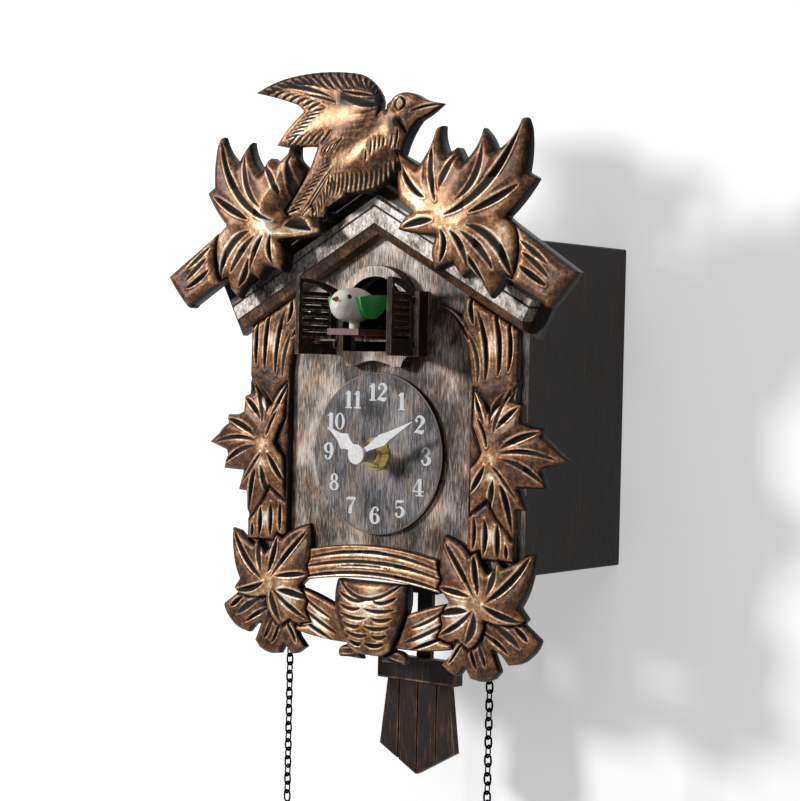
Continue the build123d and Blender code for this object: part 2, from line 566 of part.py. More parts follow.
# ---------------------------------------------------------------- movement and hands
with BuildPart() as movement:
    with BuildSketch(facing(CASE_DEPTH - MOVEMENT_DEPTH)):
        RectangleRounded(MOVEMENT_SIDE, MOVEMENT_SIDE, 2.0)
    extrude(amount=MOVEMENT_DEPTH)
    with BuildSketch(facing(CASE_DEPTH - MOVEMENT_DEPTH, height=-MOVEMENT_SIDE / 2 + 8.0)):
        Rectangle(36.0, 16.0)
    extrude(amount=-11.0)
    with BuildSketch(facing(CASE_DEPTH - MOVEMENT_DEPTH)):
        Circle(SHAFT_RADIUS + RUNNING_FIT)
    extrude(amount=MOVEMENT_DEPTH, mode=Mode.SUBTRACT)
    with BuildSketch(facing(CASE_DEPTH - MOVEMENT_DEPTH - 11.0, height=PIVOT_HEIGHT)):
        Circle(1.0)
    extrude(amount=4.0, mode=Mode.SUBTRACT)
movement.part.label = "movement"

BUSH_FRONT = DIAL_FACE + BUSH_PROUD
with BuildPart() as movement_bush:
    with BuildSketch(facing(CASE_DEPTH)):
        Circle(BUSH_RADIUS)
        Circle(HOUR_PIPE_RADIUS + RUNNING_FIT, mode=Mode.SUBTRACT)
    extrude(amount=BUSH_FRONT - CASE_DEPTH)
movement_bush.part.label = "movement_bush"

with BuildPart() as dial_washer:
    with BuildSketch(facing(DIAL_FACE)):
        Circle(WASHER_RADIUS)
        Circle(BUSH_RADIUS + RUNNING_FIT, mode=Mode.SUBTRACT)
    extrude(amount=WASHER_THICK)
dial_washer.part.label = "dial_washer"

with BuildPart() as dial_nut:
    with BuildSketch(facing(DIAL_FACE + WASHER_THICK)):
        RegularPolygon(NUT_FLATS / 2, 6, major_radius=False)
        Circle(BUSH_RADIUS + RUNNING_FIT, mode=Mode.SUBTRACT)
    extrude(amount=NUT_THICK)
dial_nut.part.label = "dial_nut"

HOUR_PLANE = HANDS_FRONT - 2 * HAND_THICK - HAND_GAP
with BuildPart() as hour_hand:
    with BuildSketch(facing(CASE_DEPTH + 2.0)):
        Circle(HOUR_PIPE_RADIUS)
    extrude(amount=HOUR_PLANE - CASE_DEPTH - 2.0)
    with BuildSketch(facing(BUSH_FRONT + 0.3)):
        Circle(TUBE_RADIUS)
    extrude(amount=HOUR_PLANE - BUSH_FRONT - 0.3 + HAND_THICK)
    with BuildSketch(hand_plane(HOUR_PLANE, HOUR_ANGLE)):
        outline([(0, HOUR_REACH * DIAL_RADIUS), (1.0, 12.5, 0.2), (3.2, 9.0, -0.6), (1.4, 6.0), (1.6, 0),
                 (-1.6, 0), (-1.4, 6.0, -0.6), (-3.2, 9.0, 0.2), (-1.0, 12.5)])
    extrude(amount=HAND_THICK)
    with BuildSketch(facing(CASE_DEPTH + 2.0)):
        Circle(SHAFT_RADIUS + RUNNING_FIT)
    extrude(amount=HANDS_PROUD + 10.0, mode=Mode.SUBTRACT)
hour_hand.part.label = "hour_hand"

MINUTE_PLANE = HANDS_FRONT - HAND_THICK
with BuildPart() as minute_hand:
    with BuildSketch(facing(CASE_DEPTH - MOVEMENT_DEPTH + 1.0)):
        Circle(SHAFT_RADIUS)
    extrude(amount=HANDS_FRONT - CASE_DEPTH + MOVEMENT_DEPTH - 1.0)
    with BuildSketch(facing(MINUTE_PLANE)):
        Circle(TUBE_RADIUS + 0.1)
    extrude(amount=HAND_THICK)
    with BuildSketch(hand_plane(MINUTE_PLANE, MINUTE_ANGLE)):
        outline([(0, MINUTE_REACH * DIAL_RADIUS), (1.1, 20.0, 0.3), (2.6, 13.0, -0.5), (1.4, 8.0), (1.5, 0),
                 (-1.5, 0), (-1.4, 8.0, -0.5), (-2.6, 13.0, 0.3), (-1.1, 20.0)])
    extrude(amount=HAND_THICK)
minute_hand.part.label = "minute_hand"

with BuildPart() as setting_knob:
    with BuildSketch(facing(CASE_DEPTH - MOVEMENT_DEPTH - FIT_GAP)):
        Circle(KNOB_RADIUS)
        with PolarLocations(KNOB_RADIUS, 12):
            Circle(0.7, mode=Mode.SUBTRACT)
    extrude(amount=-KNOB_DEPTH)
    with BuildSketch(facing(CASE_DEPTH - MOVEMENT_DEPTH - FIT_GAP)):
        Circle(SHAFT_RADIUS - 0.2)
    extrude(amount=FIT_GAP + 0.8)
setting_knob.part.label = "setting_knob"

# ---------------------------------------------------------------- roof
# The board's section runs square to the slope: underside, copper bevel, pale face with one
# groove, and a set-back upper step.
with BuildPart() as roof_right:
    sine, cosine = math.sin(PITCH), math.cos(PITCH)
    lead = ROOF_STEP * math.tan(PITCH) + 2.0
    ridge_foot = Vector(0, -PANEL_FACE, DIAL_Z + ROOF_APEX)
    slope = Vector(cosine, 0, -sine)
    with BuildSketch(Plane(ridge_foot - slope * lead, x_dir=(sine, 0, cosine),
                           z_dir=(cosine, 0, -sine))):
        groove = ROOF_BEVEL + 0.65 * ROOF_FACE_WIDTH
        face_top = ROOF_BEVEL + ROOF_FACE_WIDTH
        with BuildLine():
            Polyline((0, 0), (0, 2.9), (1.1, 4.9), (ROOF_BEVEL, ROOF_PROUD - 0.9),
                     (ROOF_BEVEL, ROOF_PROUD), (groove, ROOF_PROUD),
                     (groove, ROOF_PROUD - ROOF_GROOVE),
                     (groove + ROOF_GROOVE, ROOF_PROUD - ROOF_GROOVE),
                     (groove + ROOF_GROOVE, ROOF_PROUD), (face_top, ROOF_PROUD),
                     (face_top, ROOF_BACK_PROUD), (ROOF_STEP - 1.0, ROOF_BACK_PROUD),
                     (ROOF_STEP, ROOF_BACK_PROUD - 1.0), (ROOF_STEP, 0), (0, 0))
        make_face()
    extrude(amount=ROOF_RUN + lead)
    split(bisect_by=Plane.YZ.offset(0.02), keep=Keep.TOP)
roof_right.part.label = "roof_right"

with BuildPart() as roof_left:
    mirror(roof_right.part, about=Plane.YZ)
roof_left.part.label = "roof_left"

# ---------------------------------------------------------------- side vines
with BuildPart() as vine_right:
    with BuildSketch(facing(PANEL_FACE, VINE_X, VINE_HEIGHT)):
        outline(SIDE_LEAF)
    extrude(amount=LEAF_CREST)
    dome(VINE_X, VINE_HEIGHT, PANEL_FACE + LEAF_CREST, PANEL_FACE + LEAF_EDGE, 37.0)
    with BuildSketch(facing(PANEL_FACE, VINE_X, VINE_HEIGHT)) as post_face:
        outline(SIDE_POST)
        outline(SIDE_LEAF, mode=Mode.SUBTRACT)
    extrude(post_face.sketch, amount=POST_THICK, dir=(0, -1, 0))
    with BuildSketch(facing(PANEL_FACE)) as roof_cut:
        roof_side(SEAT_GAP)
    extrude(roof_cut.sketch, amount=ROOF_PROUD, dir=(0, -1, 0), mode=Mode.SUBTRACT)
    with BuildSketch(facing(PANEL_FACE, CORNER_X, CORNER_HEIGHT)) as leaf_cut:
        outline(CORNER_LEAF)
        outline(CORNER_ROOTS)
        offset(amount=SEAT_GAP)
    extrude(leaf_cut.sketch, amount=ROOF_PROUD, dir=(0, -1, 0), mode=Mode.SUBTRACT)
vine_right.part.label = "vine_right"

with BuildPart() as vine_left:
    mirror(vine_right.part, about=Plane.YZ)
vine_left.part.label = "vine_left"

# ---------------------------------------------------------------- corner leaves and lower work
with BuildPart() as corner_leaf_right:
    with BuildSketch(facing(PANEL_FACE, CORNER_X, CORNER_HEIGHT)):
        outline(CORNER_LEAF)
    extrude(amount=LEAF_CREST)
    dome(CORNER_X, CORNER_HEIGHT, PANEL_FACE + LEAF_CREST, PANEL_FACE + LEAF_EDGE, 33.0)
    with BuildSketch(facing(PANEL_FACE, CORNER_X, CORNER_HEIGHT)) as root_face:
        outline(CORNER_ROOTS)
        outline(CORNER_LEAF, mode=Mode.SUBTRACT)
    extrude(root_face.sketch, amount=POST_THICK, dir=(0, -1, 0))
corner_leaf_right.part.label = "corner_leaf_right"

with BuildPart() as corner_leaf_left:
    mirror(corner_leaf_right.part, about=Plane.YZ)
corner_leaf_left.part.label = "corner_leaf_left"

BAR_HALF = CORNER_X - BAR_INSET
BAR_LEVEL = CASE_BOTTOM + 3.6
with BuildPart() as lower_bar:
    with BuildSketch(facing(PANEL_FACE)):
        outline([(-BAR_HALF, BAR_LEVEL, 4.7), (BAR_HALF, BAR_LEVEL),
                 (BAR_HALF, BAR_LEVEL - BAR_WIDTH, -3.8), (-BAR_HALF, BAR_LEVEL - BAR_WIDTH)])
    extrude(amount=BAR_THICK)
    for side in (-1, 1):
        with BuildSketch(facing(PANEL_FACE, side * CORNER_X, CORNER_HEIGHT)) as bar_cut:
            outline([(side * x, z, *[side * b for b in bow]) for x, z, *bow in CORNER_LEAF])
            offset(amount=SEAT_GAP)
        extrude(bar_cut.sketch, amount=ROOF_PROUD, dir=(0, -1, 0), mode=Mode.SUBTRACT)
lower_bar.part.label = "lower_bar"

NEST = [
    (-NEST_HALF, NEST_TOP - 1.0), (NEST_HALF, NEST_TOP - 1.0, 0.6), (NEST_HALF, NEST_TOP - 12.0, 0.6),
    (0.6 * NEST_HALF, NEST_TOP - NEST_DEPTH + 3.2, 1.4), (0, NEST_TOP - NEST_DEPTH, 1.4),
    (-0.6 * NEST_HALF, NEST_TOP - NEST_DEPTH + 3.2, 0.6), (-NEST_HALF, NEST_TOP - 12.0, 0.6),
]
with BuildPart() as nest:
    with BuildSketch(facing(PANEL_FACE)):
        outline(NEST)
    extrude(amount=NEST_CREST)
    dome(0, NEST_TOP - 0.45 * NEST_DEPTH, PANEL_FACE + NEST_CREST, PANEL_FACE + 3.5, 26.0)
    for side in (-1, 1):
        with BuildSketch(facing(PANEL_FACE, side * 12.4, NEST_TOP - NEST_DEPTH - 1.6)) as foot:
            Ellipse(7.2, 4.6, rotation=side * 12)
            with Locations((-side * 12.4, 1.6 + NEST_DEPTH)):
                outline([(x, z - NEST_TOP, *bow) for x, z, *bow in NEST], mode=Mode.SUBTRACT)
        extrude(foot.sketch, amount=3.4, dir=(0, -1, 0))
nest.part.label = "nest"

with BuildPart() as lower_branch_right:
    with BuildSketch(facing(PANEL_FACE)):
        outline([(CORNER_X - 15.9, CORNER_HEIGHT - 0.8, -0.8), (NEST_HALF - 2.0, NEST_TOP - 14.5),
                 (NEST_HALF - 8.0, NEST_TOP - NEST_DEPTH + 4.0, -1.0),
                 (CORNER_X - 15.9, CORNER_HEIGHT - 21.3)])
    extrude(amount=POST_THICK)
    with BuildSketch(facing(PANEL_FACE, CORNER_X, CORNER_HEIGHT)) as branch_cut:
        outline(CORNER_LEAF)
        outline(CORNER_ROOTS)
        offset(amount=SEAT_GAP)
    extrude(branch_cut.sketch, amount=ROOF_PROUD, dir=(0, -1, 0), mode=Mode.SUBTRACT)
    with BuildSketch(facing(PANEL_FACE)) as nest_cut:
        outline(NEST)
        with Locations((12.4, NEST_TOP - NEST_DEPTH - 1.6)):
            Ellipse(7.2, 4.6, rotation=12)
        offset(amount=SEAT_GAP)
    extrude(nest_cut.sketch, amount=ROOF_PROUD, dir=(0, -1, 0), mode=Mode.SUBTRACT)
lower_branch_right.part.label = "lower_branch_right"

with BuildPart() as lower_branch_left:
    mirror(lower_branch_right.part, about=Plane.YZ)
lower_branch_left.part.label = "lower_branch_left"

# ---------------------------------------------------------------- crown
with BuildPart() as crown_leaf_right:
    with BuildSketch(facing(CROWN_BACK, CROWN_X, CROWN_HEIGHT)):
        outline(CROWN_LEAF)
    extrude(amount=CROWN_CREST)
    dome(CROWN_X, CROWN_HEIGHT, CROWN_BACK + CROWN_CREST, CROWN_BACK + CROWN_EDGE, 48.0)
    with BuildSketch(facing(CROWN_BACK, CROWN_X, CROWN_HEIGHT)) as stub_face:
        outline(CROWN_BRANCH)
        outline(CROWN_LEAF, mode=Mode.SUBTRACT)
    extrude(stub_face.sketch, amount=STUB_CREST, dir=(0, -1, 0))
    for x, height in ((CROWN_X + 1.3, ROOF_APEX - 6.6), (CROWN_X + 23.3, ROOF_APEX - 18.1)):
        with BuildSketch(facing(PANEL_FACE + ROOF_BACK_PROUD, x, height)) as boss:
            Circle(BOSS_RADIUS)
        extrude(boss.sketch, amount=CROWN_BACK - PANEL_FACE - ROOF_BACK_PROUD + 0.5, dir=(0, -1, 0))
crown_leaf_right.part.label = "crown_leaf_right"

# The bird's tail and lower wing lie in the left leaf, which is cut away round them
with BuildPart() as crown_leaf_left:
    mirror(crown_leaf_right.part, about=Plane.YZ)
    with BuildSketch(facing(CROWN_BACK - FIT_GAP, height=BIRD_HEIGHT)) as bird_room:
        outline(FLYING_BIRD)
        offset(amount=FIT_GAP)
    extrude(bird_room.sketch, amount=30.0, dir=(0, -1, 0), mode=Mode.SUBTRACT)
crown_leaf_left.part.label = "crown_leaf_left"

BODY_TAIL = (-30.0, -21.0)
BODY_NECK = (20.0, 15.5)
BODY_RADII = (3.0, 9.0, 10.5, 7.5)
with BuildPart() as crown_bird:
    with BuildSketch(facing(BIRD_BACK, height=BIRD_HEIGHT)):
        outline(FLYING_BIRD)
    extrude(amount=BIRD_WING)
    tail = Vector(BODY_TAIL[0], -BIRD_BACK - 2.0, DIAL_Z + BIRD_HEIGHT + BODY_TAIL[1])
    neck = Vector(BODY_NECK[0], -BIRD_BACK - 2.0, DIAL_Z + BIRD_HEIGHT + BODY_NECK[1])
    span = neck - tail
    with BuildSketch(Plane(tail, x_dir=span, z_dir=(0, -1, 0))):
        step = span.length / (len(BODY_RADII) - 1)
        outline([(0, 0), (0, BODY_RADII[0], 0.8), (step, BODY_RADII[1], 0.5),
                 (2 * step, BODY_RADII[2], 0.4), (span.length, BODY_RADII[3]), (span.length, 0)])
    revolve(axis=Axis(tail, span))
    with Locations((neck + Vector(1.0, 0, 3.0))):
        Sphere(8.2)
    with BuildSketch(facing(0, height=BIRD_HEIGHT)) as behind:
        Rectangle(200, 200)
    extrude(behind.sketch, amount=BIRD_BACK, dir=(0, -1, 0), mode=Mode.SUBTRACT)
    with BuildSketch(facing(CROWN_BACK - FIT_GAP, CROWN_X, CROWN_HEIGHT)) as leaf_room:
        outline(CROWN_LEAF)
        offset(amount=FIT_GAP)
    extrude(leaf_room.sketch, amount=30.0, dir=(0, -1, 0), mode=Mode.SUBTRACT)
    for x, height in ((0.0, ROOF_APEX + 20.5), (-24.0, ROOF_APEX + 8.5)):
        with BuildSketch(facing(PANEL_FACE + ROOF_BACK_PROUD, x, height)) as post:
            Circle(BOSS_RADIUS)
        extrude(post.sketch, amount=BIRD_BACK - PANEL_FACE - ROOF_BACK_PROUD + 0.5, dir=(0, -1, 0))
crown_bird.part.label = "crown_bird"

# ---------------------------------------------------------------- door surround and doors
with BuildPart() as door_surround:
    with BuildSketch(facing(PANEL_FACE)):
        outline(SIDE_SURROUND)
        mirror(about=Plane.YZ)
        outline([(0, OPENING_SPRING + OPENING_HALF, OPENING_HALF * (1 - math.sqrt(0.5))),
                 (OPENING_HALF, OPENING_SPRING), (OPENING_HALF, OPENING_SILL),
                 (-OPENING_HALF, OPENING_SILL),
                 (-OPENING_HALF, OPENING_SPRING, OPENING_HALF * (1 - math.sqrt(0.5)))],
                mode=Mode.SUBTRACT)
    extrude(amount=SURROUND_PROUD)
    for side in (-1, 1):
        for lug in LUG_LEVELS:
            with BuildSketch(level(lug - LUG_HEIGHT / 2, side * DOOR_PIVOT_X, PIVOT_DEPTH)) as ear:
                Circle(DOOR_THICK / 2)
                with Locations((0, DOOR_THICK / 2 + FIT_GAP)):
                    Rectangle(DOOR_THICK, DOOR_THICK + 2 * FIT_GAP)
                Circle(PIN_RADIUS, mode=Mode.SUBTRACT)
            extrude(ear.sketch, amount=LUG_HEIGHT, dir=(0, 0, 1))
door_surround.part.label = "door_surround"

with BuildPart() as hinge_pins:
    for side in (-1, 1):
        with BuildSketch(level(DOOR_BASE + 1.0, side * DOOR_PIVOT_X, PIVOT_DEPTH)):
            Circle(PIN_RADIUS)
        extrude(amount=DOOR_HEEL_HEIGHT - 2.4)
hinge_pins.part.label = "hinge_pins"

# The right door, drawn along its own length from the pivot, with its inner face towards +Z.
turn = math.radians(180.0 - DOOR_OPEN)
ALONG = Vector(math.cos(turn), -math.sin(turn), 0)
INWARD = Vector(-math.sin(turn), -math.cos(turn), 0)
PIVOT = Vector(DOOR_PIVOT_X, -PIVOT_DEPTH, DIAL_Z)
DOOR_LENGTH = DOOR_PIVOT_X - FIT_GAP
with BuildPart() as door_right:
    with BuildSketch(Plane(PIVOT - INWARD * (DOOR_THICK / 2), x_dir=ALONG, z_dir=INWARD)):
        outline([(0, DOOR_BASE + DOOR_HEEL_HEIGHT, 1.1), (DOOR_LENGTH, DOOR_BASE + DOOR_HEIGHT),
                 (DOOR_LENGTH, DOOR_BASE), (0, DOOR_BASE)])
    extrude(amount=DOOR_THICK)
    with BuildSketch(level(DOOR_BASE, DOOR_PIVOT_X, PIVOT_DEPTH)) as heel:
        Circle(DOOR_THICK / 2)
    extrude(heel.sketch, amount=DOOR_HEEL_HEIGHT, dir=(0, 0, 1))
    # Window for the louvres
    with BuildSketch(Plane(PIVOT - INWARD * (DOOR_THICK / 2), x_dir=ALONG, z_dir=INWARD)) as window:
        outline([(HINGE_STILE, DOOR_BASE + DOOR_HEEL_HEIGHT - 1.7, 0.8),
                 (DOOR_LENGTH - DOOR_STILE, DOOR_BASE + DOOR_HEIGHT - DOOR_STILE),
                 (DOOR_LENGTH - DOOR_STILE, DOOR_BASE + DOOR_RAIL),
                 (HINGE_STILE, DOOR_BASE + DOOR_RAIL)])
    extrude(window.sketch, amount=DOOR_THICK, dir=INWARD, mode=Mode.SUBTRACT)
    # Sloping slats between the stiles
    for slat in range(SLAT_COUNT):
        centre = PIVOT + ALONG * (HINGE_STILE - SLAT_TENON) + Vector(
            0, 0, DOOR_BASE + DOOR_RAIL + (slat + 0.5) * SLAT_PITCH - 0.3)
        with BuildSketch(Plane(centre, x_dir=INWARD, z_dir=ALONG)) as blade:
            half = DOOR_THICK / 2 - 0.2
            Polygon((-half, -1.5), (half, 0.6), (half, 1.5), (-half, -0.6), align=None)
        extrude(blade.sketch, amount=DOOR_LENGTH - DOOR_STILE - HINGE_STILE + 2 * SLAT_TENON,
                dir=ALONG)
    # Notches that clear the hinge lugs, and the pin's hole
    for lug in LUG_LEVELS:
        with BuildSketch(level(lug - LUG_HEIGHT / 2 - FIT_GAP, DOOR_PIVOT_X, PIVOT_DEPTH)) as notch:
            Circle(DOOR_THICK / 2 + 2 * FIT_GAP)
        extrude(notch.sketch, amount=LUG_HEIGHT + 2 * FIT_GAP, dir=(0, 0, 1), mode=Mode.SUBTRACT)
    with BuildSketch(level(DOOR_BASE + 0.8, DOOR_PIVOT_X, PIVOT_DEPTH)) as pin_hole:
        Circle(PIN_RADIUS + RUNNING_FIT)
    extrude(pin_hole.sketch, amount=DOOR_HEEL_HEIGHT - 2.0, dir=(0, 0, 1), mode=Mode.SUBTRACT)
    # Shelf and pin that carry the link
    with BuildSketch(Plane(PIVOT + INWARD * (DOOR_THICK / 2 - 0.2) + ALONG * LINK_REACH
                           + Vector(0, 0, LINK_LEVEL - 1.6), x_dir=ALONG,
                           z_dir=(0, 0, 1))) as shelf:
        with Locations((0, -1.6)):
            Rectangle(2.6, 3.6)
    extrude(shelf.sketch, amount=0.9, dir=(0, 0, 1))
    with BuildSketch(Plane(PIVOT + ALONG * LINK_REACH + INWARD * LINK_OFFSET
                           + Vector(0, 0, LINK_LEVEL - 1.0), x_dir=ALONG, z_dir=(0, 0, 1))) as stud:
        Circle(0.5)
    extrude(stud.sketch, amount=2.0, dir=(0, 0, 1))
door_right.part.label = "door_right"

with BuildPart() as door_left:
    mirror(door_right.part, about=Plane.YZ)
door_left.part.label = "door_left"

LINK_PIN = PIVOT + ALONG * LINK_REACH + INWARD * LINK_OFFSET
LINK_END = Vector(PEG_X, -PEG_DEPTH, DIAL_Z)
with BuildPart() as door_link_right:
    reach = LINK_END - LINK_PIN
    with BuildSketch(Plane(LINK_PIN + Vector(0, 0, LINK_LEVEL - LINK_WIRE), x_dir=reach,
                           z_dir=(0, 0, 1))):
        with Locations((reach.length / 2, 0)):
            Rectangle(reach.length, 2 * LINK_WIRE)
        with Locations((0, 0), (reach.length, 0)):
            RegularPolygon(1.3, 10)
        with Locations((0, 0), (reach.length, 0)):
            Circle(0.5 + RUNNING_FIT, mode=Mode.SUBTRACT)
    extrude(amount=2 * LINK_WIRE)
door_link_right.part.label = "door_link_right"

with BuildPart() as door_link_left:
    mirror(door_link_right.part, about=Plane.YZ)
door_link_left.part.label = "door_link_left"

# ---------------------------------------------------------------- cuckoo and its carriage
PITCH_RADIUS = GEAR_MODULE * GEAR_TEETH / 2
PLATFORM_BASE = PLATFORM_TOP - PLATFORM_THICK
RACK_LINE = PLATFORM_BASE - 2.0
GEAR_HEIGHT = RACK_LINE - PITCH_RADIUS
TOOTH_SLOPE = math.radians(20)
RACK_BACK = PLATFORM_FRONT - PLATFORM_LENGTH + 1.0
ADDENDUM = 0.7 * GEAR_MODULE
DEDENDUM = 0.95 * GEAR_MODULE
HALF_TOOTH = math.pi * GEAR_MODULE / 4 - BACKLASH / 2


def side_plane(x, depth, height):
    """Plane seen from the right: its +X runs towards the wall and its +Y runs up."""
    return Plane((x, -depth, DIAL_Z + height), x_dir=(0, 1, 0), z_dir=(1, 0, 0))


with BuildPart() as cuckoo_carriage:
    with BuildSketch(level(PLATFORM_BASE, depth=PLATFORM_FRONT - PLATFORM_LENGTH / 2)):
        Rectangle(2 * PLATFORM_HALF, PLATFORM_LENGTH)
    extrude(amount=PLATFORM_THICK)
    # Rack under the platform
    tooth_pitch = math.pi * GEAR_MODULE
    tooth_total = int((TRAVEL + 8.0) / tooth_pitch) + 1
    first_tooth = GEAR_DEPTH - 4.0
    with BuildSketch(side_plane(-GEAR_WIDTH / 2, 0, 0)):
        with BuildLine():
            rack_back = first_tooth - tooth_pitch / 2
            rack_front = first_tooth + (tooth_total - 0.5) * tooth_pitch
            root = RACK_LINE + DEDENDUM
            tip = RACK_LINE - ADDENDUM
            points = [(-rack_back, PLATFORM_BASE), (-rack_back, root)]
            for tooth in range(tooth_total):
                middle = GEAR_DEPTH + tooth_pitch * (tooth - 1)
                wide = HALF_TOOTH + DEDENDUM * math.tan(TOOTH_SLOPE)
                narrow = HALF_TOOTH - ADDENDUM * math.tan(TOOTH_SLOPE)
                points += [(-middle + wide, root), (-middle + narrow, tip),
                           (-middle - narrow, tip), (-middle - wide, root)]
            points += [(-rack_front - 2.0, root), (-rack_front - 2.0, PLATFORM_BASE)]
            Polyline(*points, close=True)
        make_face()
    extrude(amount=GEAR_WIDTH)
    # Pegs that the door links hook on
    with BuildSketch(level(PLATFORM_BASE, depth=PEG_DEPTH)) as pegs:
        with GridLocations(2 * PLATFORM_HALF - 1.6, 1, 2, 1):
            Circle(0.5)
    extrude(pegs.sketch, amount=-1.3, dir=(0, 0, 1))
cuckoo_carriage.part.label = "cuckoo_carriage"


def involute(base, radius, start):
    """Point on an involute of the base circle, `start` round from where it leaves that circle."""
    roll = math.sqrt(max((radius / base) ** 2 - 1, 0))
    angle = start + roll - math.atan(roll)
    return radius * math.cos(angle), radius * math.sin(angle)


with BuildPart() as drive_pinion:
    base_circle = PITCH_RADIUS * math.cos(TOOTH_SLOPE)
    flank = math.tan(TOOTH_SLOPE) - TOOTH_SLOPE
    half_angle = HALF_TOOTH / PITCH_RADIUS + flank
    root_circle = PITCH_RADIUS - DEDENDUM
    tip_circle = PITCH_RADIUS + ADDENDUM
    with BuildSketch(side_plane(-GEAR_WIDTH / 2, GEAR_DEPTH, GEAR_HEIGHT)):
        with BuildLine():
            rim = []
            for tooth in range(GEAR_TEETH):
                middle = math.pi / 2 + 2 * math.pi * (tooth + 0.5) / GEAR_TEETH
                for radius in (root_circle, base_circle, PITCH_RADIUS, tip_circle):
                    x, y = involute(base_circle, max(radius, base_circle), -half_angle)
                    shrink = radius / max(radius, base_circle)
                    spin = complex(x * shrink, y * shrink) * complex(math.cos(middle),
                                                                     math.sin(middle))
                    rim.append((spin.real, spin.imag))
                for radius in (tip_circle, PITCH_RADIUS, base_circle, root_circle):
                    x, y = involute(base_circle, max(radius, base_circle), -half_angle)
                    shrink = radius / max(radius, base_circle)
                    spin = complex(x * shrink, -y * shrink) * complex(math.cos(middle),
                                                                      math.sin(middle))
                    rim.append((spin.real, spin.imag))
            Polyline(*rim, close=True)
        make_face()
    extrude(amount=GEAR_WIDTH)
    with BuildSketch(side_plane(-PLATFORM_HALF - SLIDE_GAP - GUIDE_WALL, GEAR_DEPTH, GEAR_HEIGHT)):
        Circle(1.0)
    extrude(amount=2 * (PLATFORM_HALF + SLIDE_GAP + GUIDE_WALL) + 3.0)
drive_pinion.part.label = "drive_pinion"

GUIDE_HALF = PLATFORM_HALF + SLIDE_GAP
GUIDE_TOP = PLATFORM_TOP + 2.2
GUIDE_FLOOR = PLATFORM_BASE - GUIDE_DROP
with BuildPart() as carriage_guide:
    with BuildSketch(facing(GUIDE_BACK)):
        outline([(-GUIDE_HALF - GUIDE_WALL, GUIDE_TOP), (GUIDE_HALF + GUIDE_WALL, GUIDE_TOP),
                 (GUIDE_HALF + GUIDE_WALL, GUIDE_FLOOR), (-GUIDE_HALF - GUIDE_WALL, GUIDE_FLOOR)])
        # Channel for the platform, with lips over it and ledges under it
        with Locations((0, (PLATFORM_TOP + PLATFORM_BASE) / 2)):
            Rectangle(2 * GUIDE_HALF, PLATFORM_THICK + 2 * SLIDE_GAP, mode=Mode.SUBTRACT)
        with Locations((0, PLATFORM_TOP)):
            Rectangle(2 * GUIDE_HALF - 2.4, 10.0, mode=Mode.SUBTRACT)
        with Locations((0, (PLATFORM_BASE + GUIDE_FLOOR + 2.0) / 2)):
            Rectangle(2 * GUIDE_HALF - 2.4, PLATFORM_BASE - GUIDE_FLOOR - 2.0, mode=Mode.SUBTRACT)
    extrude(amount=GUIDE_FRONT - GUIDE_BACK)
    # Feet against the back of the front panel
    with BuildSketch(facing(GUIDE_FRONT)):
        with Locations((0, GUIDE_FLOOR + 4.5)):
            Rectangle(GUIDE_FOOT_WIDTH, 9.0)
    extrude(amount=CASE_DEPTH - GUIDE_FRONT)
    with BuildSketch(side_plane(-GUIDE_HALF - GUIDE_WALL, GEAR_DEPTH, GEAR_HEIGHT)) as axle_hole:
        Circle(1.0 + RUNNING_FIT)
    extrude(axle_hole.sketch, amount=2 * (GUIDE_HALF + GUIDE_WALL), dir=(1, 0, 0),
            mode=Mode.SUBTRACT)
carriage_guide.part.label = "carriage_guide"

with BuildPart() as drive_motor:
    with BuildSketch(side_plane(GUIDE_HALF + GUIDE_WALL, GEAR_DEPTH, GEAR_HEIGHT)):
        Circle(MOTOR_RADIUS)
        with Locations((0, 0)):
            Rectangle(30, 2 * (MOTOR_RADIUS - 1.2), mode=Mode.INTERSECT)
        Circle(1.0 + RUNNING_FIT, mode=Mode.SUBTRACT)
    extrude(amount=MOTOR_LENGTH)
drive_motor.part.label = "drive_motor"

CUCKOO_PROFILE = [(0.0, 0.2, 0.7), (0.15, 0.84, 0.5), (0.5, 0.98, 0.5), (0.85, 0.48, 0.0), (1.0, 0.2, 0.0)]
with BuildPart() as cuckoo_body:
    beak_end = Vector(0, -CUCKOO_FRONT, DIAL_Z + CUCKOO_AXIS)
    with BuildSketch(Plane(beak_end, x_dir=(0, 1, 0), z_dir=(1, 0, 0))):
        outline([(0, 0)] + [(CUCKOO_LENGTH * along, CUCKOO_RADIUS * across, bow) if bow
                            else (CUCKOO_LENGTH * along, CUCKOO_RADIUS * across)
                            for along, across, bow in CUCKOO_PROFILE] + [(CUCKOO_LENGTH, 0)])
    revolve(axis=Axis(beak_end, (0, 1, 0)))
    with BuildSketch(level(PLATFORM_TOP, depth=CUCKOO_FRONT - 0.45 * CUCKOO_LENGTH)) as leg:
        Circle(2.3)
    extrude(leg.sketch, amount=CUCKOO_AXIS - PLATFORM_TOP - 4.0, dir=(0, 0, 1))
cuckoo_body.part.label = "cuckoo_body"

with BuildPart() as cuckoo_beak:
    with BuildSketch(facing(CUCKOO_FRONT - 2.5, height=CUCKOO_AXIS + 2.2)):
        RegularPolygon(1.9, 8)
    extrude(amount=4.6, taper=16)
    add(cuckoo_body.part, mode=Mode.SUBTRACT)
cuckoo_beak.part.label = "cuckoo_beak"

with BuildPart() as cuckoo_wings:
    for side in (-1, 1):
        with BuildSketch(side_plane(side * 5.0, CUCKOO_FRONT - 17.0, CUCKOO_AXIS)) as wing:
            outline([(-11.0, 3.4, 0.6), (11.0, 4.6, 0.9), (3.0, -4.2, 1.0), (-5.0, -5.4, 1.6)])
        extrude(wing.sketch, amount=3.9, dir=(side, 0, 0))
    add(cuckoo_body.part, mode=Mode.SUBTRACT)
cuckoo_wings.part.label = "cuckoo_wings"

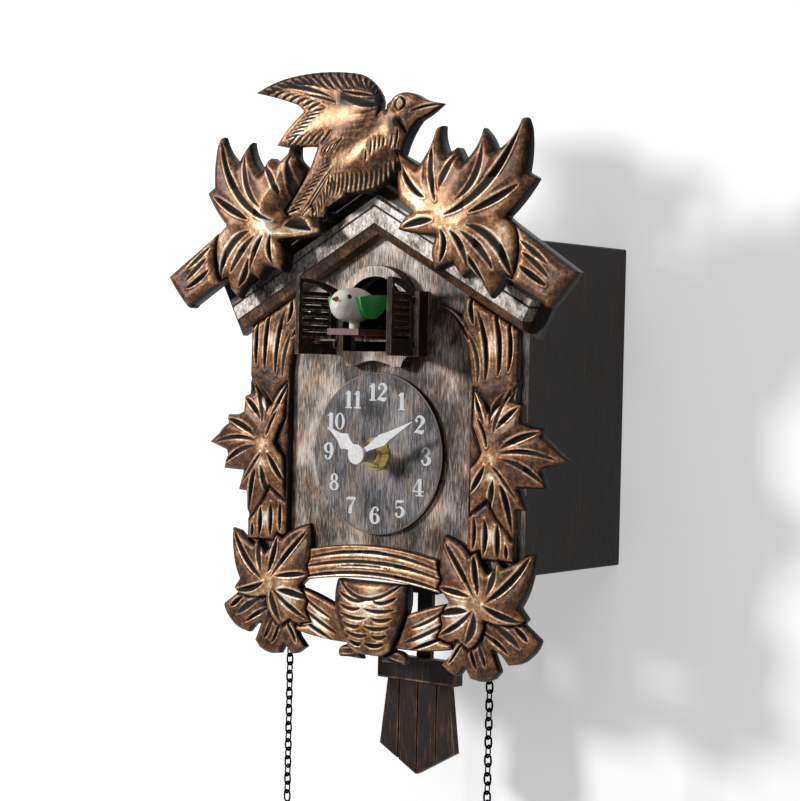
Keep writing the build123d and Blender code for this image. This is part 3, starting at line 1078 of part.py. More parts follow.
# ---------------------------------------------------------------- pendulum
ROD_FRONT = ROD_BACK + ROD_THICK
AXLE_SEAT = CASE_DEPTH - MOVEMENT_DEPTH - 11.0
with BuildPart() as pendulum_axle:
    with BuildSketch(facing(AXLE_SEAT + 3.0, height=PIVOT_HEIGHT)):
        Circle(0.95)
    extrude(amount=-(AXLE_SEAT + 3.0 - ROD_BACK + 1.0))
    with BuildSketch(facing(ROD_BACK - FIT_GAP, height=PIVOT_HEIGHT)):
        Circle(2.4)
    extrude(amount=-1.4)
    with BuildSketch(facing(AXLE_SEAT, height=PIVOT_HEIGHT)):
        Circle(2.4)
    extrude(amount=-(AXLE_SEAT - ROD_FRONT - FIT_GAP))
pendulum_axle.part.label = "pendulum_axle"

with BuildPart() as pendulum_hanger:
    with BuildSketch(facing(ROD_BACK)):
        with Locations((0, (PIVOT_HEIGHT + 5.0 + HANGER_FOOT) / 2)):
            RectangleRounded(HANGER_WIDTH, PIVOT_HEIGHT + 5.0 - HANGER_FOOT, 1.0)
        with Locations((0, PIVOT_HEIGHT)):
            Circle(0.95 + RUNNING_FIT, mode=Mode.SUBTRACT)
    extrude(amount=ROD_THICK)
pendulum_hanger.part.label = "pendulum_hanger"

with BuildPart() as pendulum_rod:
    rod_foot = BLOCK_TOP - BLOCK_HEIGHT - 0.4 * BOB_DROP
    with BuildSketch(facing(ROD_BACK)):
        with Locations((0, (HANGER_FOOT + rod_foot) / 2)):
            Rectangle(ROD_WIDTH, HANGER_FOOT - rod_foot)
    extrude(amount=ROD_THICK)
pendulum_rod.part.label = "pendulum_rod"

with BuildPart() as pendulum_block:
    with BuildSketch(facing(ROD_FRONT, height=BLOCK_TOP - BLOCK_HEIGHT / 2)):
        Rectangle(BLOCK_WIDTH, BLOCK_HEIGHT)
    extrude(amount=BLOCK_THICK)
    chamfer(pendulum_block.faces().sort_by(Axis.Y)[0].edges(), 0.6)
pendulum_block.part.label = "pendulum_block"

with BuildPart() as pendulum_bob:
    with BuildSketch(facing(ROD_FRONT, height=BLOCK_TOP - BLOCK_HEIGHT)):
        outline([(-BOB_TOP_WIDTH / 2, 0), (BOB_TOP_WIDTH / 2, 0), (BOB_WIDTH / 2, -BOB_DROP),
                 (0, -BOB_DROP - BOB_POINT), (-BOB_WIDTH / 2, -BOB_DROP)])
    extrude(amount=BOB_THICK)
    with BuildSketch(facing(ROD_FRONT + BOB_THICK, height=BLOCK_TOP - BLOCK_HEIGHT
                            - (BOB_DROP + BOB_POINT) / 2)) as seams:
        for plank in range(1, PLANK_COUNT):
            with Locations(((plank - PLANK_COUNT / 2) * BOB_WIDTH / PLANK_COUNT, 0)):
                Rectangle(0.8, BOB_DROP + BOB_POINT + BOB_TOP_WIDTH / 2)
    extrude(seams.sketch, amount=-0.8, dir=(0, -1, 0), mode=Mode.SUBTRACT)
pendulum_bob.part.label = "pendulum_bob"

# ---------------------------------------------------------------- chains and weights
EYE_HEIGHT = CASE_BOTTOM - EYE_DROP
with BuildPart() as chain_eyes:
    for side in (-1, 1):
        with BuildSketch(level(CASE_BOTTOM + CASE_WALL + 0.5, side * CHAIN_X, CHAIN_DEPTH)) as stem:
            Circle(1.0)
        extrude(stem.sketch, amount=-(CASE_WALL + 0.5 + EYE_DROP - 2.3), dir=(0, 0, 1))
        with BuildSketch(side_plane(side * CHAIN_X - 0.6, CHAIN_DEPTH, EYE_HEIGHT)) as ring:
            RegularPolygon(3.2, 12)
            RegularPolygon(1.9, 12, mode=Mode.SUBTRACT)
        extrude(ring.sketch, amount=1.2, dir=(1, 0, 0))
        with BuildSketch(facing(CHAIN_DEPTH - 1.25, side * CHAIN_X, EYE_HEIGHT - EYE_BAR_DROP)) as bar:
            Circle(EYE_BAR_RADIUS)
        extrude(bar.sketch, amount=2.5, dir=(0, -1, 0))
chain_eyes.part.label = "chain_eyes"

LINK_INNER = LINK_PITCH + LINK_SLACK
LINK_OUTER = LINK_INNER + 2 * LINK_BAR
FIRST_LINK = EYE_HEIGHT - EYE_BAR_DROP + EYE_BAR_RADIUS + LINK_SLACK - LINK_INNER / 2


def chain_link(long, wide, mode=Mode.ADD):
    """Eight-sided ring outline of one link."""
    cut = 0.3 * wide
    outline([(-wide / 2 + cut, long / 2), (wide / 2 - cut, long / 2), (wide / 2, long / 2 - cut),
             (wide / 2, cut - long / 2), (wide / 2 - cut, -long / 2), (cut - wide / 2, -long / 2),
             (-wide / 2, cut - long / 2), (-wide / 2, long / 2 - cut)], mode=mode)


with BuildPart() as chain_right:
    for link in range(LINK_COUNT):
        centre = Vector(CHAIN_X, -CHAIN_DEPTH, DIAL_Z + FIRST_LINK - link * LINK_PITCH)
        across = (1, 0, 0) if link % 2 == 0 else (0, 1, 0)
        normal = (0, -1, 0) if link % 2 == 0 else (1, 0, 0)
        with BuildSketch(Plane(centre, x_dir=across, z_dir=normal).offset(-LINK_BAR / 2)) as ring:
            chain_link(LINK_OUTER, LINK_WIDTH)
            chain_link(LINK_INNER, LINK_WIDTH - 2 * LINK_BAR, mode=Mode.SUBTRACT)
        extrude(ring.sketch, amount=LINK_BAR, dir=normal)
chain_right.part.label = "chain_right"

with BuildPart() as chain_left:
    mirror(chain_right.part, about=Plane.YZ)
chain_left.part.label = "chain_left"

LAST_LINK = FIRST_LINK - (LINK_COUNT - 1) * LINK_PITCH
with BuildPart() as weight_right:
    # Eye on the cone's cap
    turn_eye = LINK_COUNT % 2 == 1
    eye_centre = Vector(CHAIN_X, -CHAIN_DEPTH, DIAL_Z + LAST_LINK - LINK_PITCH)
    normal = (1, 0, 0) if turn_eye else (0, -1, 0)
    across = (0, 1, 0) if turn_eye else (1, 0, 0)
    with BuildSketch(Plane(eye_centre, x_dir=across, z_dir=normal).offset(-LINK_BAR / 2)) as ring:
        chain_link(LINK_OUTER, LINK_WIDTH)
        chain_link(LINK_INNER, LINK_WIDTH - 2 * LINK_BAR, mode=Mode.SUBTRACT)
    extrude(ring.sketch, amount=LINK_BAR, dir=normal)
    cone_start = LAST_LINK - LINK_PITCH - LINK_INNER / 2 - LINK_BAR / 2
    with BuildSketch(level(cone_start - 3.2, CHAIN_X, CHAIN_DEPTH)) as cap:
        RegularPolygon(3.6, 10)
    extrude(cap.sketch, amount=3.2, dir=(0, 0, 1))
    for tier, swell in enumerate(CONE_SWELL):
        tier_top = cone_start - 3.0 - tier * CONE_TIER_HEIGHT
        with BuildSketch(level(tier_top - CONE_TIER_HEIGHT - 0.4, CHAIN_X, CHAIN_DEPTH)) as scales:
            RegularPolygon(CONE_RADIUS * swell, 10, rotation=18 * (tier % 2))
        extrude(scales.sketch, amount=CONE_TIER_HEIGHT + 0.4, dir=(0, 0, 1), taper=CONE_TAPER)
weight_right.part.label = "weight_right"

with BuildPart() as weight_left:
    mirror(weight_right.part, about=Plane.YZ)
weight_left.part.label = "weight_left"

# ---------------------------------------------------------------- write the parts
os.makedirs("parts", exist_ok=True)
for piece in (
    case, back_cover, cover_screws, battery_lid, battery_box, battery_contacts, sound_switch,
    circuit_board, speaker, front_panel, panel_screws, dial, movement, movement_bush, dial_washer,
    dial_nut, hour_hand, minute_hand, setting_knob, roof_right, roof_left, vine_right, vine_left,
    corner_leaf_right, corner_leaf_left, lower_bar, nest, lower_branch_right, lower_branch_left,
    crown_leaf_right, crown_leaf_left, crown_bird, door_surround, hinge_pins, door_right,
    door_left, door_link_right, door_link_left, cuckoo_carriage, cuckoo_body, cuckoo_beak,
    cuckoo_wings, carriage_guide, drive_pinion, drive_motor, pendulum_axle, pendulum_hanger,
    pendulum_rod, pendulum_block, pendulum_bob, chain_eyes, chain_right, chain_left,
    weight_right, weight_left,
):
    export_step(piece.part, f"parts/{piece.part.label}.step")
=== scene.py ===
"""Dresses the wall-hung cuckoo clock: its finishes, its carved front, its chains and cones."""
import logging
import math
from dataclasses import dataclass, field
from enum import Enum

import bmesh
import bpy
import numpy as np
from bmesh.types import BMEdge, BMesh, BMFace, BMVert
from bpy.types import Material, Node, NodeSocket as Socket, NodeTree as Tree, Object as Piece
from mathutils import Matrix, Vector


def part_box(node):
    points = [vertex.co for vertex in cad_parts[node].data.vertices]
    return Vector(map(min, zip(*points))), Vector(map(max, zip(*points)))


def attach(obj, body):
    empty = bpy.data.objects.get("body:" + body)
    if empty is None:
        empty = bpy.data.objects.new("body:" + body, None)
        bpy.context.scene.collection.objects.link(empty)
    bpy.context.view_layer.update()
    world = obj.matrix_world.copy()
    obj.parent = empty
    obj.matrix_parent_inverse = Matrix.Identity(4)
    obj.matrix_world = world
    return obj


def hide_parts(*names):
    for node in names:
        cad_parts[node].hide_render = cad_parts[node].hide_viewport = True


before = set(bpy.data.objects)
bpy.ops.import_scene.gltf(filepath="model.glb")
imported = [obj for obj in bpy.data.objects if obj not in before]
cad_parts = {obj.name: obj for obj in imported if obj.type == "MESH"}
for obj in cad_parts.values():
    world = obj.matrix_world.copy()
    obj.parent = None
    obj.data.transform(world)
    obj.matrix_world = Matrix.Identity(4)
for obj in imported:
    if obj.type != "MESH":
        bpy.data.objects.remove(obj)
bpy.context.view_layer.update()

LOG = logging.getLogger("cuckoo_clock")
Pair = tuple[float, float]
Triple = tuple[float, float, float]
Stops = tuple[tuple[float, str], ...]       # a ramp's places and sRGB hex colours
MM = 0.001
DIAL_Z = -74.3          # the dial's centre below the hanger hole, mm
PANEL_FACE = 80.3       # front of the panel from the wall, mm
DIAL_FACE = 83.0        # front of the dial from the wall, mm
ROOF_PITCH = 28.4       # degrees
ROOF_APEX = 96.6 + DIAL_Z       # underside of the ridge, mm


# ---------------------------------------------------------------- colour and nodes
def linear(code: str) -> tuple[float, float, float, float]:
    """Turn an sRGB hex colour linear.

    Args:
        code: Six hex digits, with or without a leading #.

    Returns:
        Linear red, green, blue and an alpha of one.
    """
    code = code.lstrip("#")
    values = [int(code[i:i + 2], 16) / 255 for i in (0, 2, 4)]
    red, green, blue = (v / 12.92 if v <= 0.04045 else ((v + 0.055) / 1.055) ** 2.4 for v in values)
    return red, green, blue, 1.0


def feed(tree: Tree, node: Node, inputs: dict) -> None:
    """Link or set a node's inputs.

    Args:
        tree: The node's tree.
        node: The node.
        inputs: What goes into each socket, by name or number. A socket, or a node's first
            output, is linked, and anything else is the socket's own value.
    """
    for key, given in inputs.items():
        if isinstance(given, Node):
            given = given.outputs[0]
        if isinstance(given, Socket):
            tree.links.new(given, node.inputs[key])
        else:
            node.inputs[key].default_value = given


def add(tree: Tree, kind: str, inputs: dict | None = None,
        **settings: str) -> Node:
    """Add a node with its settings and inputs.

    Args:
        tree: The tree that gets the node.
        kind: The node's type name, without the leading "ShaderNode".
        inputs: What goes into its sockets, as feed takes it.
        settings: Properties of the node itself.

    Returns:
        The new node.
    """
    node = tree.nodes.new("ShaderNode" + kind)
    for key, value in settings.items():
        setattr(node, key, value)
    feed(tree, node, inputs or {})
    return node


def empty_tree(owner: Material | bpy.types.World) -> Tree:
    """Return the emptied node tree of a new material or world."""
    owner.use_nodes = True
    owner.node_tree.nodes.clear()
    return owner.node_tree


def ramp(node: Node, stops: Stops) -> Socket:
    """Set the colours of a ColorRamp node.

    Args:
        node: The ColorRamp.
        stops: Position and sRGB hex of each stop, in order.

    Returns:
        The ramp's colour output.
    """
    elements = node.color_ramp.elements
    while len(elements) < len(stops):
        elements.new(1.0)
    for element, (place, code) in zip(elements, stops):
        element.position = place
        element.color = linear(code)
    return node.outputs["Color"]


def slope_height(tree: Tree, parts: Node) -> Node:
    """Add nodes for the height above the roof boards' underside, square to their slope.

    Args:
        tree: The material's tree.
        parts: The node that gives the object coordinates apart.

    Returns:
        The node that gives the height, in mm.
    """
    sine, cosine = math.sin(math.radians(ROOF_PITCH)), math.cos(math.radians(ROOF_PITCH))
    wide = add(tree, "Math", {0: parts.outputs["X"]}, operation="ABSOLUTE")
    run = add(tree, "Math", {0: wide, 1: sine / MM, 2: -ROOF_APEX * cosine},
              operation="MULTIPLY_ADD")
    return add(tree, "Math", {0: parts.outputs["Z"], 1: cosine / MM, 2: run},
               operation="MULTIPLY_ADD")


@dataclass(frozen=True)
class Finish:
    """A surface finish, made once and shared by the pieces that have it."""

    name: str

    def material(self) -> Material:
        """Return the finish's material, made the first time it is asked for."""
        found = bpy.data.materials.get(self.name)
        if found is not None and found.get("made_here"):
            return found
        made = bpy.data.materials.new(self.name)
        made["made_here"] = True
        tree = empty_tree(made)
        shader = add(tree, "BsdfPrincipled")
        add(tree, "OutputMaterial", {"Surface": shader})
        self.dress(tree, shader)
        return made

    def dress(self, tree: Tree, shader: Node) -> None:
        """Give the shader its colour, gloss and relief."""

    def grain(self, tree: Tree, size: Triple,
              detail: float = 4.0, rough: float = 0.55) -> Node:
        """Add a noise pattern on the piece's own coordinates.

        Args:
            tree: The material's tree.
            size: Size of one grain along X, Y and Z, in mm.
            detail: Octaves of finer grain.
            rough: How strong the finer grain is.

        Returns:
            The noise node.
        """
        place = add(tree, "TexCoord")
        scale = tuple(1.0 / (side * MM) for side in size)
        spread = add(tree, "Mapping", {"Scale": scale, "Vector": place.outputs["Object"]})
        return add(tree, "TexNoise", {"Scale": 1.0, "Detail": detail, "Roughness": rough,
                                      "Vector": spread})

    def swayed(self, tree: Tree, level: Socket | Node,
               coarse: Node, amount: float, lift: float) -> Node:
        """Shift a level by a coarser pattern.

        Args:
            tree: The material's tree.
            level: What is shifted.
            coarse: The pattern, from 0 to 1.
            amount: How far the whole pattern shifts it.
            lift: What is added everywhere.

        Returns:
            The node that gives the new level.
        """
        shift = add(tree, "Math", {0: coarse, 1: amount, 2: lift}, operation="MULTIPLY_ADD")
        return add(tree, "Math", {0: level, 1: shift}, operation="ADD")

    def layered(self, tree: Tree, colour: Socket,
                layers: list[tuple]) -> Socket:
        """Lay paints over a colour, one after another.

        Args:
            tree: The material's tree.
            colour: What they are laid on.
            layers: Each one's share from 0 to 1, and its paint as a socket or an sRGB hex.

        Returns:
            The socket of the finished colour.
        """
        for share, paint in layers:
            paint = linear(paint) if isinstance(paint, str) else paint
            colour = add(tree, "Mix", {0: share, 6: colour, 7: paint}, data_type="RGBA").outputs[2]
        return colour

    def relief(self, tree: Tree, shader: Node, height: Node,
               depth: float, strength: float = 1.0) -> None:
        """Bump the shader's surface.

        Args:
            tree: The material's tree.
            shader: The shader to bump.
            height: What gives the height from 0 to 1.
            depth: Height of a full step, in mm.
            strength: How much of it is used.
        """
        bump = add(tree, "Bump", {"Distance": depth * MM, "Strength": strength,
                                  "Height": height})
        feed(tree, shader, {"Normal": bump})


@dataclass(frozen=True)
class RubbedBronze(Finish):
    """Moulded ABS, sprayed black, then bronze and silver rubbed over the high places.

    The eye sees black in every cut and low on the flanks, painted shade on the steep flanks,
    copper brown on the ridges, and pale metal where the cloth rubbed hardest: the middle of each
    leaf and the cuts' lips, where the pale is partly a painted highlight. A painted highlight also
    runs just inside the rim.
    """

    stops: Stops = (
        (0.10, "#0c0806"), (0.26, "#281910"), (0.40, "#583821"), (0.54, "#875b39"),
        (0.68, "#b2855b"), (0.82, "#dcbc96"), (0.97, "#f5ece4"))
    uneven: float = 1.45            # how much the cloth's marks count

    def dress(self, tree: Tree, shader: Node) -> None:
        """Choose the paint by how proud each place stands, broken up by the cloth's marks."""
        mottle = self.grain(tree, (2.6, 2.6, 2.6), 10.0, 0.84)
        fine = self.grain(tree, (0.7, 0.7, 0.7), 3.0, 0.6)
        # rub holds the rubbed metal together with painted highlight and painted shade
        cut, rub = (add(tree, "Attribute", attribute_name=name).outputs["Fac"]
                    for name in ("cut", "rub"))
        level = self.swayed(tree, rub, mottle, self.uneven, -0.5 * self.uneven)
        paint = ramp(add(tree, "ValToRGB", {"Fac": level}), self.stops)
        rough = add(tree, "MapRange", {0: mottle, 1: 0.3, 2: 0.7, 3: 0.31, 4: 0.47})
        rough = add(tree, "Math", {0: cut, 1: 0.3, 2: rough}, operation="MULTIPLY_ADD")
        feed(tree, shader, {
            "Base Color": self.layered(tree, paint, [(cut, self.stops[0][1])]),
            "Roughness": rough, "Metallic": 0.35, "Specular IOR Level": 0.35})
        self.relief(tree, shader, fine, 0.10, 0.7)


@dataclass(frozen=True)
class Streaked(Finish):
    """Moulded ABS with a fine upright wood grain, copper dragged over the ridges of the grain.

    The eye sees long thin streaks that run up and down, brighter where the grain stands proud.
    """

    base: str = "#141110"
    streak: str = "#6a4428"
    bright: str = "#94694a"
    start: float = 0.58
    streak_width: float = 0.55      # mm
    streak_length: float = 26.0     # mm
    roughness: float = 0.52
    depth: float = 0.16             # mm
    patch: Triple = (9.0, 9.0, 40.0)    # mm
    wear: str = "#c79a70"           # metal on the worn edges

    def dress(self, tree: Tree, shader: Node) -> None:
        """Lay long streaks over the base, in patches, and metal on the worn edges."""
        streaks = self.grain(tree, (self.streak_width, self.streak_width, self.streak_length),
                             5.0, 0.62)
        patches = self.grain(tree, self.patch, 4.0, 0.65)
        level = self.swayed(tree, streaks, patches, 0.42, -0.21)
        colour = ramp(add(tree, "ValToRGB", {"Fac": level}),
                      ((self.start - 0.12, self.base), (self.start, "#2a1d15"),
                       (self.start + 0.08, self.streak), (self.start + 0.2, self.bright)))
        flecks = ramp(add(tree, "ValToRGB", {"Fac": patches}),
                      ((0.36, "#2a1b12"), (0.50, self.bright), (0.66, self.wear)))
        worn = add(tree, "Attribute", attribute_name="worn").outputs["Fac"]
        feed(tree, shader, {"Base Color": self.layered(tree, colour, [(worn, flecks)]),
                            "Roughness": self.roughness, "Specular IOR Level": 0.25})
        self.relief(tree, shader, streaks, self.depth)


@dataclass(frozen=True)
class BrushedPanel(Finish):
    """Moulded ABS, silver and copper drawn over black with a stiff dry brush, up and down.

    The eye sees short fine strokes, pale in some places and smoky or coppery in others, with
    black between them, and copper on the worn edges. The side walls get painted shade, and on the
    dial painted shade covers the disc's edge past its rim. What lies above the boards' underside is
    left black.
    """

    stops: Stops = ((0.30, "#16120f"), (0.41, "#4b423b"), (0.50, "#8b8078"), (0.59, "#bdb2a9"),
                    (0.70, "#e2d9d1"))
    warm: Stops = ((0.30, "#1a120c"), (0.41, "#5b4130"), (0.51, "#a1795a"), (0.61, "#d0ac8d"),
                   (0.72, "#ecd8c6"))
    warm_share: Stops = ((0.44, "#000000"), (0.62, "#d8d8d8"))
    edge_metal: Stops = ((0.38, "#1a100a"), (0.50, "#4a3020"), (0.64, "#b0835b"))
    lift: float = 0.0               # added to the paint's level everywhere
    haze: float = 0.0               # share of the smoky film over it
    # Past the rim the disc's edge gets painted shade
    rim: float = 0.0                # radius of a thin pale rim, mm, or none
    eaves: bool = False             # black above the boards' underside and past the shoulders
    shoulder: float = 77.0          # half width inside the shoulders, mm

    def dress(self, tree: Tree, shader: Node) -> None:
        """Lay the strokes, then the patches, the painted shade on the side walls, the rim with
        painted shade past it, and the black.
        """
        strokes = self.grain(tree, (0.42, 0.42, 5.5), 6.0, 0.72)
        patch = self.grain(tree, (17.0, 17.0, 22.0), 3.0, 0.55)
        hue = self.grain(tree, (9.0, 9.0, 15.0), 3.0, 0.6)
        level = self.swayed(tree, strokes, patch, 0.7, self.lift - 0.35)
        grey, warm, where, metal = (
            ramp(add(tree, "ValToRGB", {"Fac": source}), stops) for source, stops in (
                (level, self.stops), (level, self.warm), (hue, self.warm_share),
                (hue, self.edge_metal)))
        side, worn = (add(tree, "Attribute", attribute_name=name).outputs["Fac"]
                      for name in ("side", "worn"))
        layers = [(where, warm)]
        if self.haze:
            film = add(tree, "MapRange", {0: patch, 1: 0.40, 2: 0.62, 3: 0.25 * self.haze,
                                          4: self.haze})
            layers.append((film, "#4b4b50"))
        # Painted shade on the side walls, then copper on the worn edges
        layers += [(side, "#2b1c12"), (worn, metal)]
        place = add(tree, "TexCoord").outputs["Object"]
        if self.rim:
            flat = add(tree, "Mapping", {"Location": (0, 0, -DIAL_Z * MM), "Scale": (1, 0, 1),
                                         "Vector": place})
            far = add(tree, "VectorMath", {0: flat}, operation="LENGTH").outputs["Value"]
            # A thin pale rim, then painted shade over the disc's edge past it
            for start, code in ((0.5, "#b9a792"), (0.06, "#0d0b0a")):
                past = add(tree, "Math", {0: far, 1: (self.rim - start) * MM},
                           operation="GREATER_THAN")
                layers.append((past, code))
        if self.eaves:
            parts = add(tree, "SeparateXYZ", {0: place})
            above = add(tree, "Math", {0: slope_height(tree, parts), 1: 0.4},
                        operation="GREATER_THAN")
            wide = add(tree, "Math", {0: parts.outputs["X"]}, operation="ABSOLUTE")
            out = add(tree, "Math", {0: wide, 1: self.shoulder * MM}, operation="GREATER_THAN")
            layers.append((add(tree, "Math", {0: above, 1: out}, operation="MAXIMUM"), "#0e0b09"))
        feed(tree, shader, {"Base Color": self.layered(tree, grey, layers), "Roughness": 0.44,
                            "Metallic": 0.2, "Specular IOR Level": 0.35})
        self.relief(tree, shader, strokes, 0.1)


@dataclass(frozen=True)
class RoofPaint(Finish):
    """Moulded ABS roof board: black, with dabbed silver on the face and copper on the bevel.

    The eye sees a cloudy silver band split by one dark line, copper along the lower bevel and
    the top edge, darkened as painted shade for the bevel, and black between.
    """

    bevel: float = 5.0              # height of the lower bevel, mm
    line: float = 11.6              # middle of the dark line
    half_line: float = 0.4
    silver_top: float = 16.2
    edge: float = 20.4              # start of the copper top edge
    silver: Stops = ((0.30, "#241d19"), (0.40, "#6f645b"), (0.50, "#aca198"), (0.60, "#d3cac2"),
                     (0.72, "#ece6e0"))
    # The copper is kept dark as painted shade on the downward-facing bevel; the top edge shares it
    copper: Stops = ((0.34, "#1a110b"), (0.50, "#573a25"), (0.62, "#8d6445"), (0.76, "#c39a75"))
    black: Stops = ((0.42, "#0c0a08"), (0.60, "#1d1510"), (0.74, "#5a4030"))

    def dress(self, tree: Tree, shader: Node) -> None:
        """Choose the paint by the height above the board's underside."""
        cloud = self.grain(tree, (1.3, 1.3, 2.4), 8.0, 0.76)
        patch = self.grain(tree, (12.0, 12.0, 12.0), 3.0, 0.6)
        parts = add(tree, "SeparateXYZ", {0: add(tree, "TexCoord").outputs["Object"]})
        rise = slope_height(tree, parts)
        level = self.swayed(tree, cloud, patch, 0.7, -0.38)
        silver, copper, black = (ramp(add(tree, "ValToRGB", {"Fac": level}), stops)
                                 for stops in (self.silver, self.copper, self.black))
        layers = [(add(tree, "Math", {0: rise, 1: start}, operation="GREATER_THAN"), paint)
                  for start, paint in (
                      (self.bevel, silver), (self.line - self.half_line, black),
                      (self.line + self.half_line, silver), (self.silver_top, black),
                      (self.edge, copper))]
        feed(tree, shader, {"Base Color": self.layered(tree, copper, layers), "Roughness": 0.42,
                            "Metallic": 0.2, "Specular IOR Level": 0.35})
        self.relief(tree, shader, cloud, 0.1, 0.8)


@dataclass(frozen=True)
class Plain(Finish):
    """A moulded, painted, turned or rolled surface with a fine grain of its own.

    The eye sees one colour with slight clouds in it and a soft unevenness in the gloss.
    """

    dark: str = "#1c1c1c"
    light: str = "#2a2a2a"
    roughness: float = 0.4
    metallic: float = 0.0
    grain_size: Triple = (1.2, 1.2, 1.2)   # mm
    depth: float = 0.03                                        # mm
    coat: float = 0.0

    def dress(self, tree: Tree, shader: Node) -> None:
        """Cloud the colour and the gloss with one grain."""
        cloud = self.grain(tree, self.grain_size, 4.0, 0.55)
        colour = ramp(add(tree, "ValToRGB", {"Fac": cloud}),
                      ((0.35, self.dark), (0.65, self.light)))
        gloss = add(tree, "MapRange", {0: cloud, 1: 0.3, 2: 0.7, 3: self.roughness * 0.85,
                                       4: min(1.0, self.roughness * 1.15)})
        feed(tree, shader, {"Base Color": colour, "Roughness": gloss, "Metallic": self.metallic,
                            "Coat Weight": self.coat})
        self.relief(tree, shader, cloud, self.depth)


# ---------------------------------------------------------------- the finishes in use
# Moulded ABS, rubbed bronze over black: dark cuts, copper ridges, pale worn lips
BRONZE = RubbedBronze("abs_rubbed_bronze")
# Moulded ABS with a pressed wood grain: nearly black, with thin dark copper streaks
WOODGRAIN = Streaked("abs_woodgrain_black_copper", base="#12100e", streak="#4f3423",
                     bright="#7d583c", start=0.62, streak_width=0.4)
# Moulded ABS louvres, copper dragged across their short faces: dark, with bright edges
DOOR_PAINT = Streaked("abs_louvre_black_copper", base="#120d0a", streak="#4b3322", bright="#8a6445",
                      start=0.56, streak_width=0.6, streak_length=3.0, roughness=0.42,
                      patch=(2.5, 2.5, 4.0), wear="#d8b084")
# Moulded ABS planks, brown with copper streaks along their length
PENDULUM_PAINT = Streaked("abs_plank_brown_copper", base="#1a110c", streak="#5f3d27",
                          bright="#8a6345", start=0.56, streak_width=0.45, streak_length=11.0,
                          roughness=0.46, patch=(6.0, 6.0, 16.0))
# Moulded ABS, dry-brushed: pale strokes in smoky patches, black past the boards
PANEL = BrushedPanel("abs_drybrushed_silver", lift=-0.02, eaves=True)
# The same brush on the door surround, a little paler
SURROUND_PAINT = BrushedPanel("abs_surround_silver_copper", lift=0.04)
# Moulded ABS boards, sponged: cloudy silver with a dark line and copper bevels
ROOF = RoofPaint("abs_roof_silver_copper")
# Clear polystyrene disc tinted with smoke over the brushed ground: its strokes show through
DIAL_GROUND = BrushedPanel(
    "polystyrene_dial_smoke", rim=36.0, haze=0.36,
    stops=((0.34, "#171517"), (0.43, "#38363a"), (0.51, "#67646a"), (0.59, "#96918f"),
           (0.70, "#c2bab2")),
    warm=((0.34, "#1a1412"), (0.43, "#453934"), (0.51, "#7f6a5c"), (0.59, "#b39a86"),
          (0.70, "#dac6b4")))
# Screen-printed ink: flat white with a trace of the ground in it
NUMERAL_INK = Plain("white_screen_ink", "#cfd0d3", "#e9e9ea", 0.5, 0.0, (0.9, 0.9, 0.9), 0.02)
# Stamped aluminium hands with white enamel paint, smooth and clean
HAND_ENAMEL = Plain("white_enamel_on_aluminium", "#e9e8e6", "#f7f6f4", 0.28, 0.0,
                    (2.0, 2.0, 2.0), 0.01)
# Turned brass, bright, with fine rings from the tool
BRASS = Plain("turned_brass", "#cdb569", "#f3e6ae", 0.18, 0.6, (0.3, 3.0, 0.3), 0.02)
# Extruded styrene collar, grey with a trace of mauve
COLLAR = Plain("grey_styrene_collar", "#9b9096", "#b0a6ac", 0.34, 0.0, (1.5, 1.5, 1.5), 0.01)
# Rolled and plated steel: bright grey, clean and fairly sharp
STEEL = Plain("bright_zinc_steel", "#a9a9a8", "#c9c9c8", 0.3, 1.0, (0.5, 0.5, 0.5), 0.01)
# Drawn steel wire with its zinc gone dull: grey, with a broad soft sheen
WIRE = Plain("dull_zinc_wire", "#3f3b37", "#6d6862", 0.5, 0.8, (0.6, 0.6, 0.6), 0.01)
# Steel wire with black oxide: dark, with a soft sheen
BLACK_STEEL = Plain("black_oxide_steel", "#141210", "#2b2622", 0.34, 0.6, (0.9, 0.9, 0.9), 0.03)
# Moulded ABS with a spark-eroded texture, satin black
BLACK_ABS = Plain("textured_black_abs", "#0f0f0f", "#1d1d1d", 0.5, 0.0, (0.35, 0.35, 0.35), 0.05)
# Glass-epoxy laminate under green solder resist: even green, half glossy
BOARD = Plain("glass_epoxy_board_green", "#0c4a22", "#186a35", 0.35, 0.0, (0.9, 0.9, 0.9), 0.02)
# Moulded polystyrene, left bare: warm white with a smooth soft gloss
IVORY = Plain("ivory_polystyrene", "#e2dccb", "#f2ede0", 0.32, 0.0, (1.8, 1.8, 1.8), 0.02)
# Brushed gloss paint on the wings: strong green under a thin clear sheen
LEAF_GREEN = Plain("green_gloss_paint", "#2fbf4c", "#43d162", 0.3, 0.0, (3.0, 3.0, 3.0), 0.01, 0.2)
# Dipped gloss paint on the beak: soft red
ROSE = Plain("rose_gloss_paint", "#b33a34", "#d0605a", 0.3, 0.0, (1.0, 1.0, 1.0), 0.02)
# A drop of gloss paint for each eye: black and wet-looking
EYE_BLACK = Plain("black_gloss_paint", "#080808", "#141414", 0.12, 0.0, (1.0, 1.0, 1.0), 0.005, 0.5)
# Moulded ABS coloured through: dull mauve brown with faint upright flow lines
MAUVE = Plain("mauve_brown_abs", "#512d27", "#754a40", 0.42, 0.0, (0.6, 0.6, 6.0), 0.05)
# Moulded nylon: milky, waxy white
NYLON = Plain("natural_nylon", "#d9d6cb", "#e8e5dc", 0.4, 0.0, (1.0, 1.0, 1.0), 0.02)


# ---------------------------------------------------------------- mesh helpers
FACING = Matrix.Rotation(math.pi / 2, 4, "X")       # turns a flat shape to face the front


def put(name: str, data: bpy.types.ID) -> Piece:
    """Put a new object with this mesh, lamp or camera into the scene."""
    piece = bpy.data.objects.new(name, data)
    bpy.context.scene.collection.objects.link(piece)
    return piece


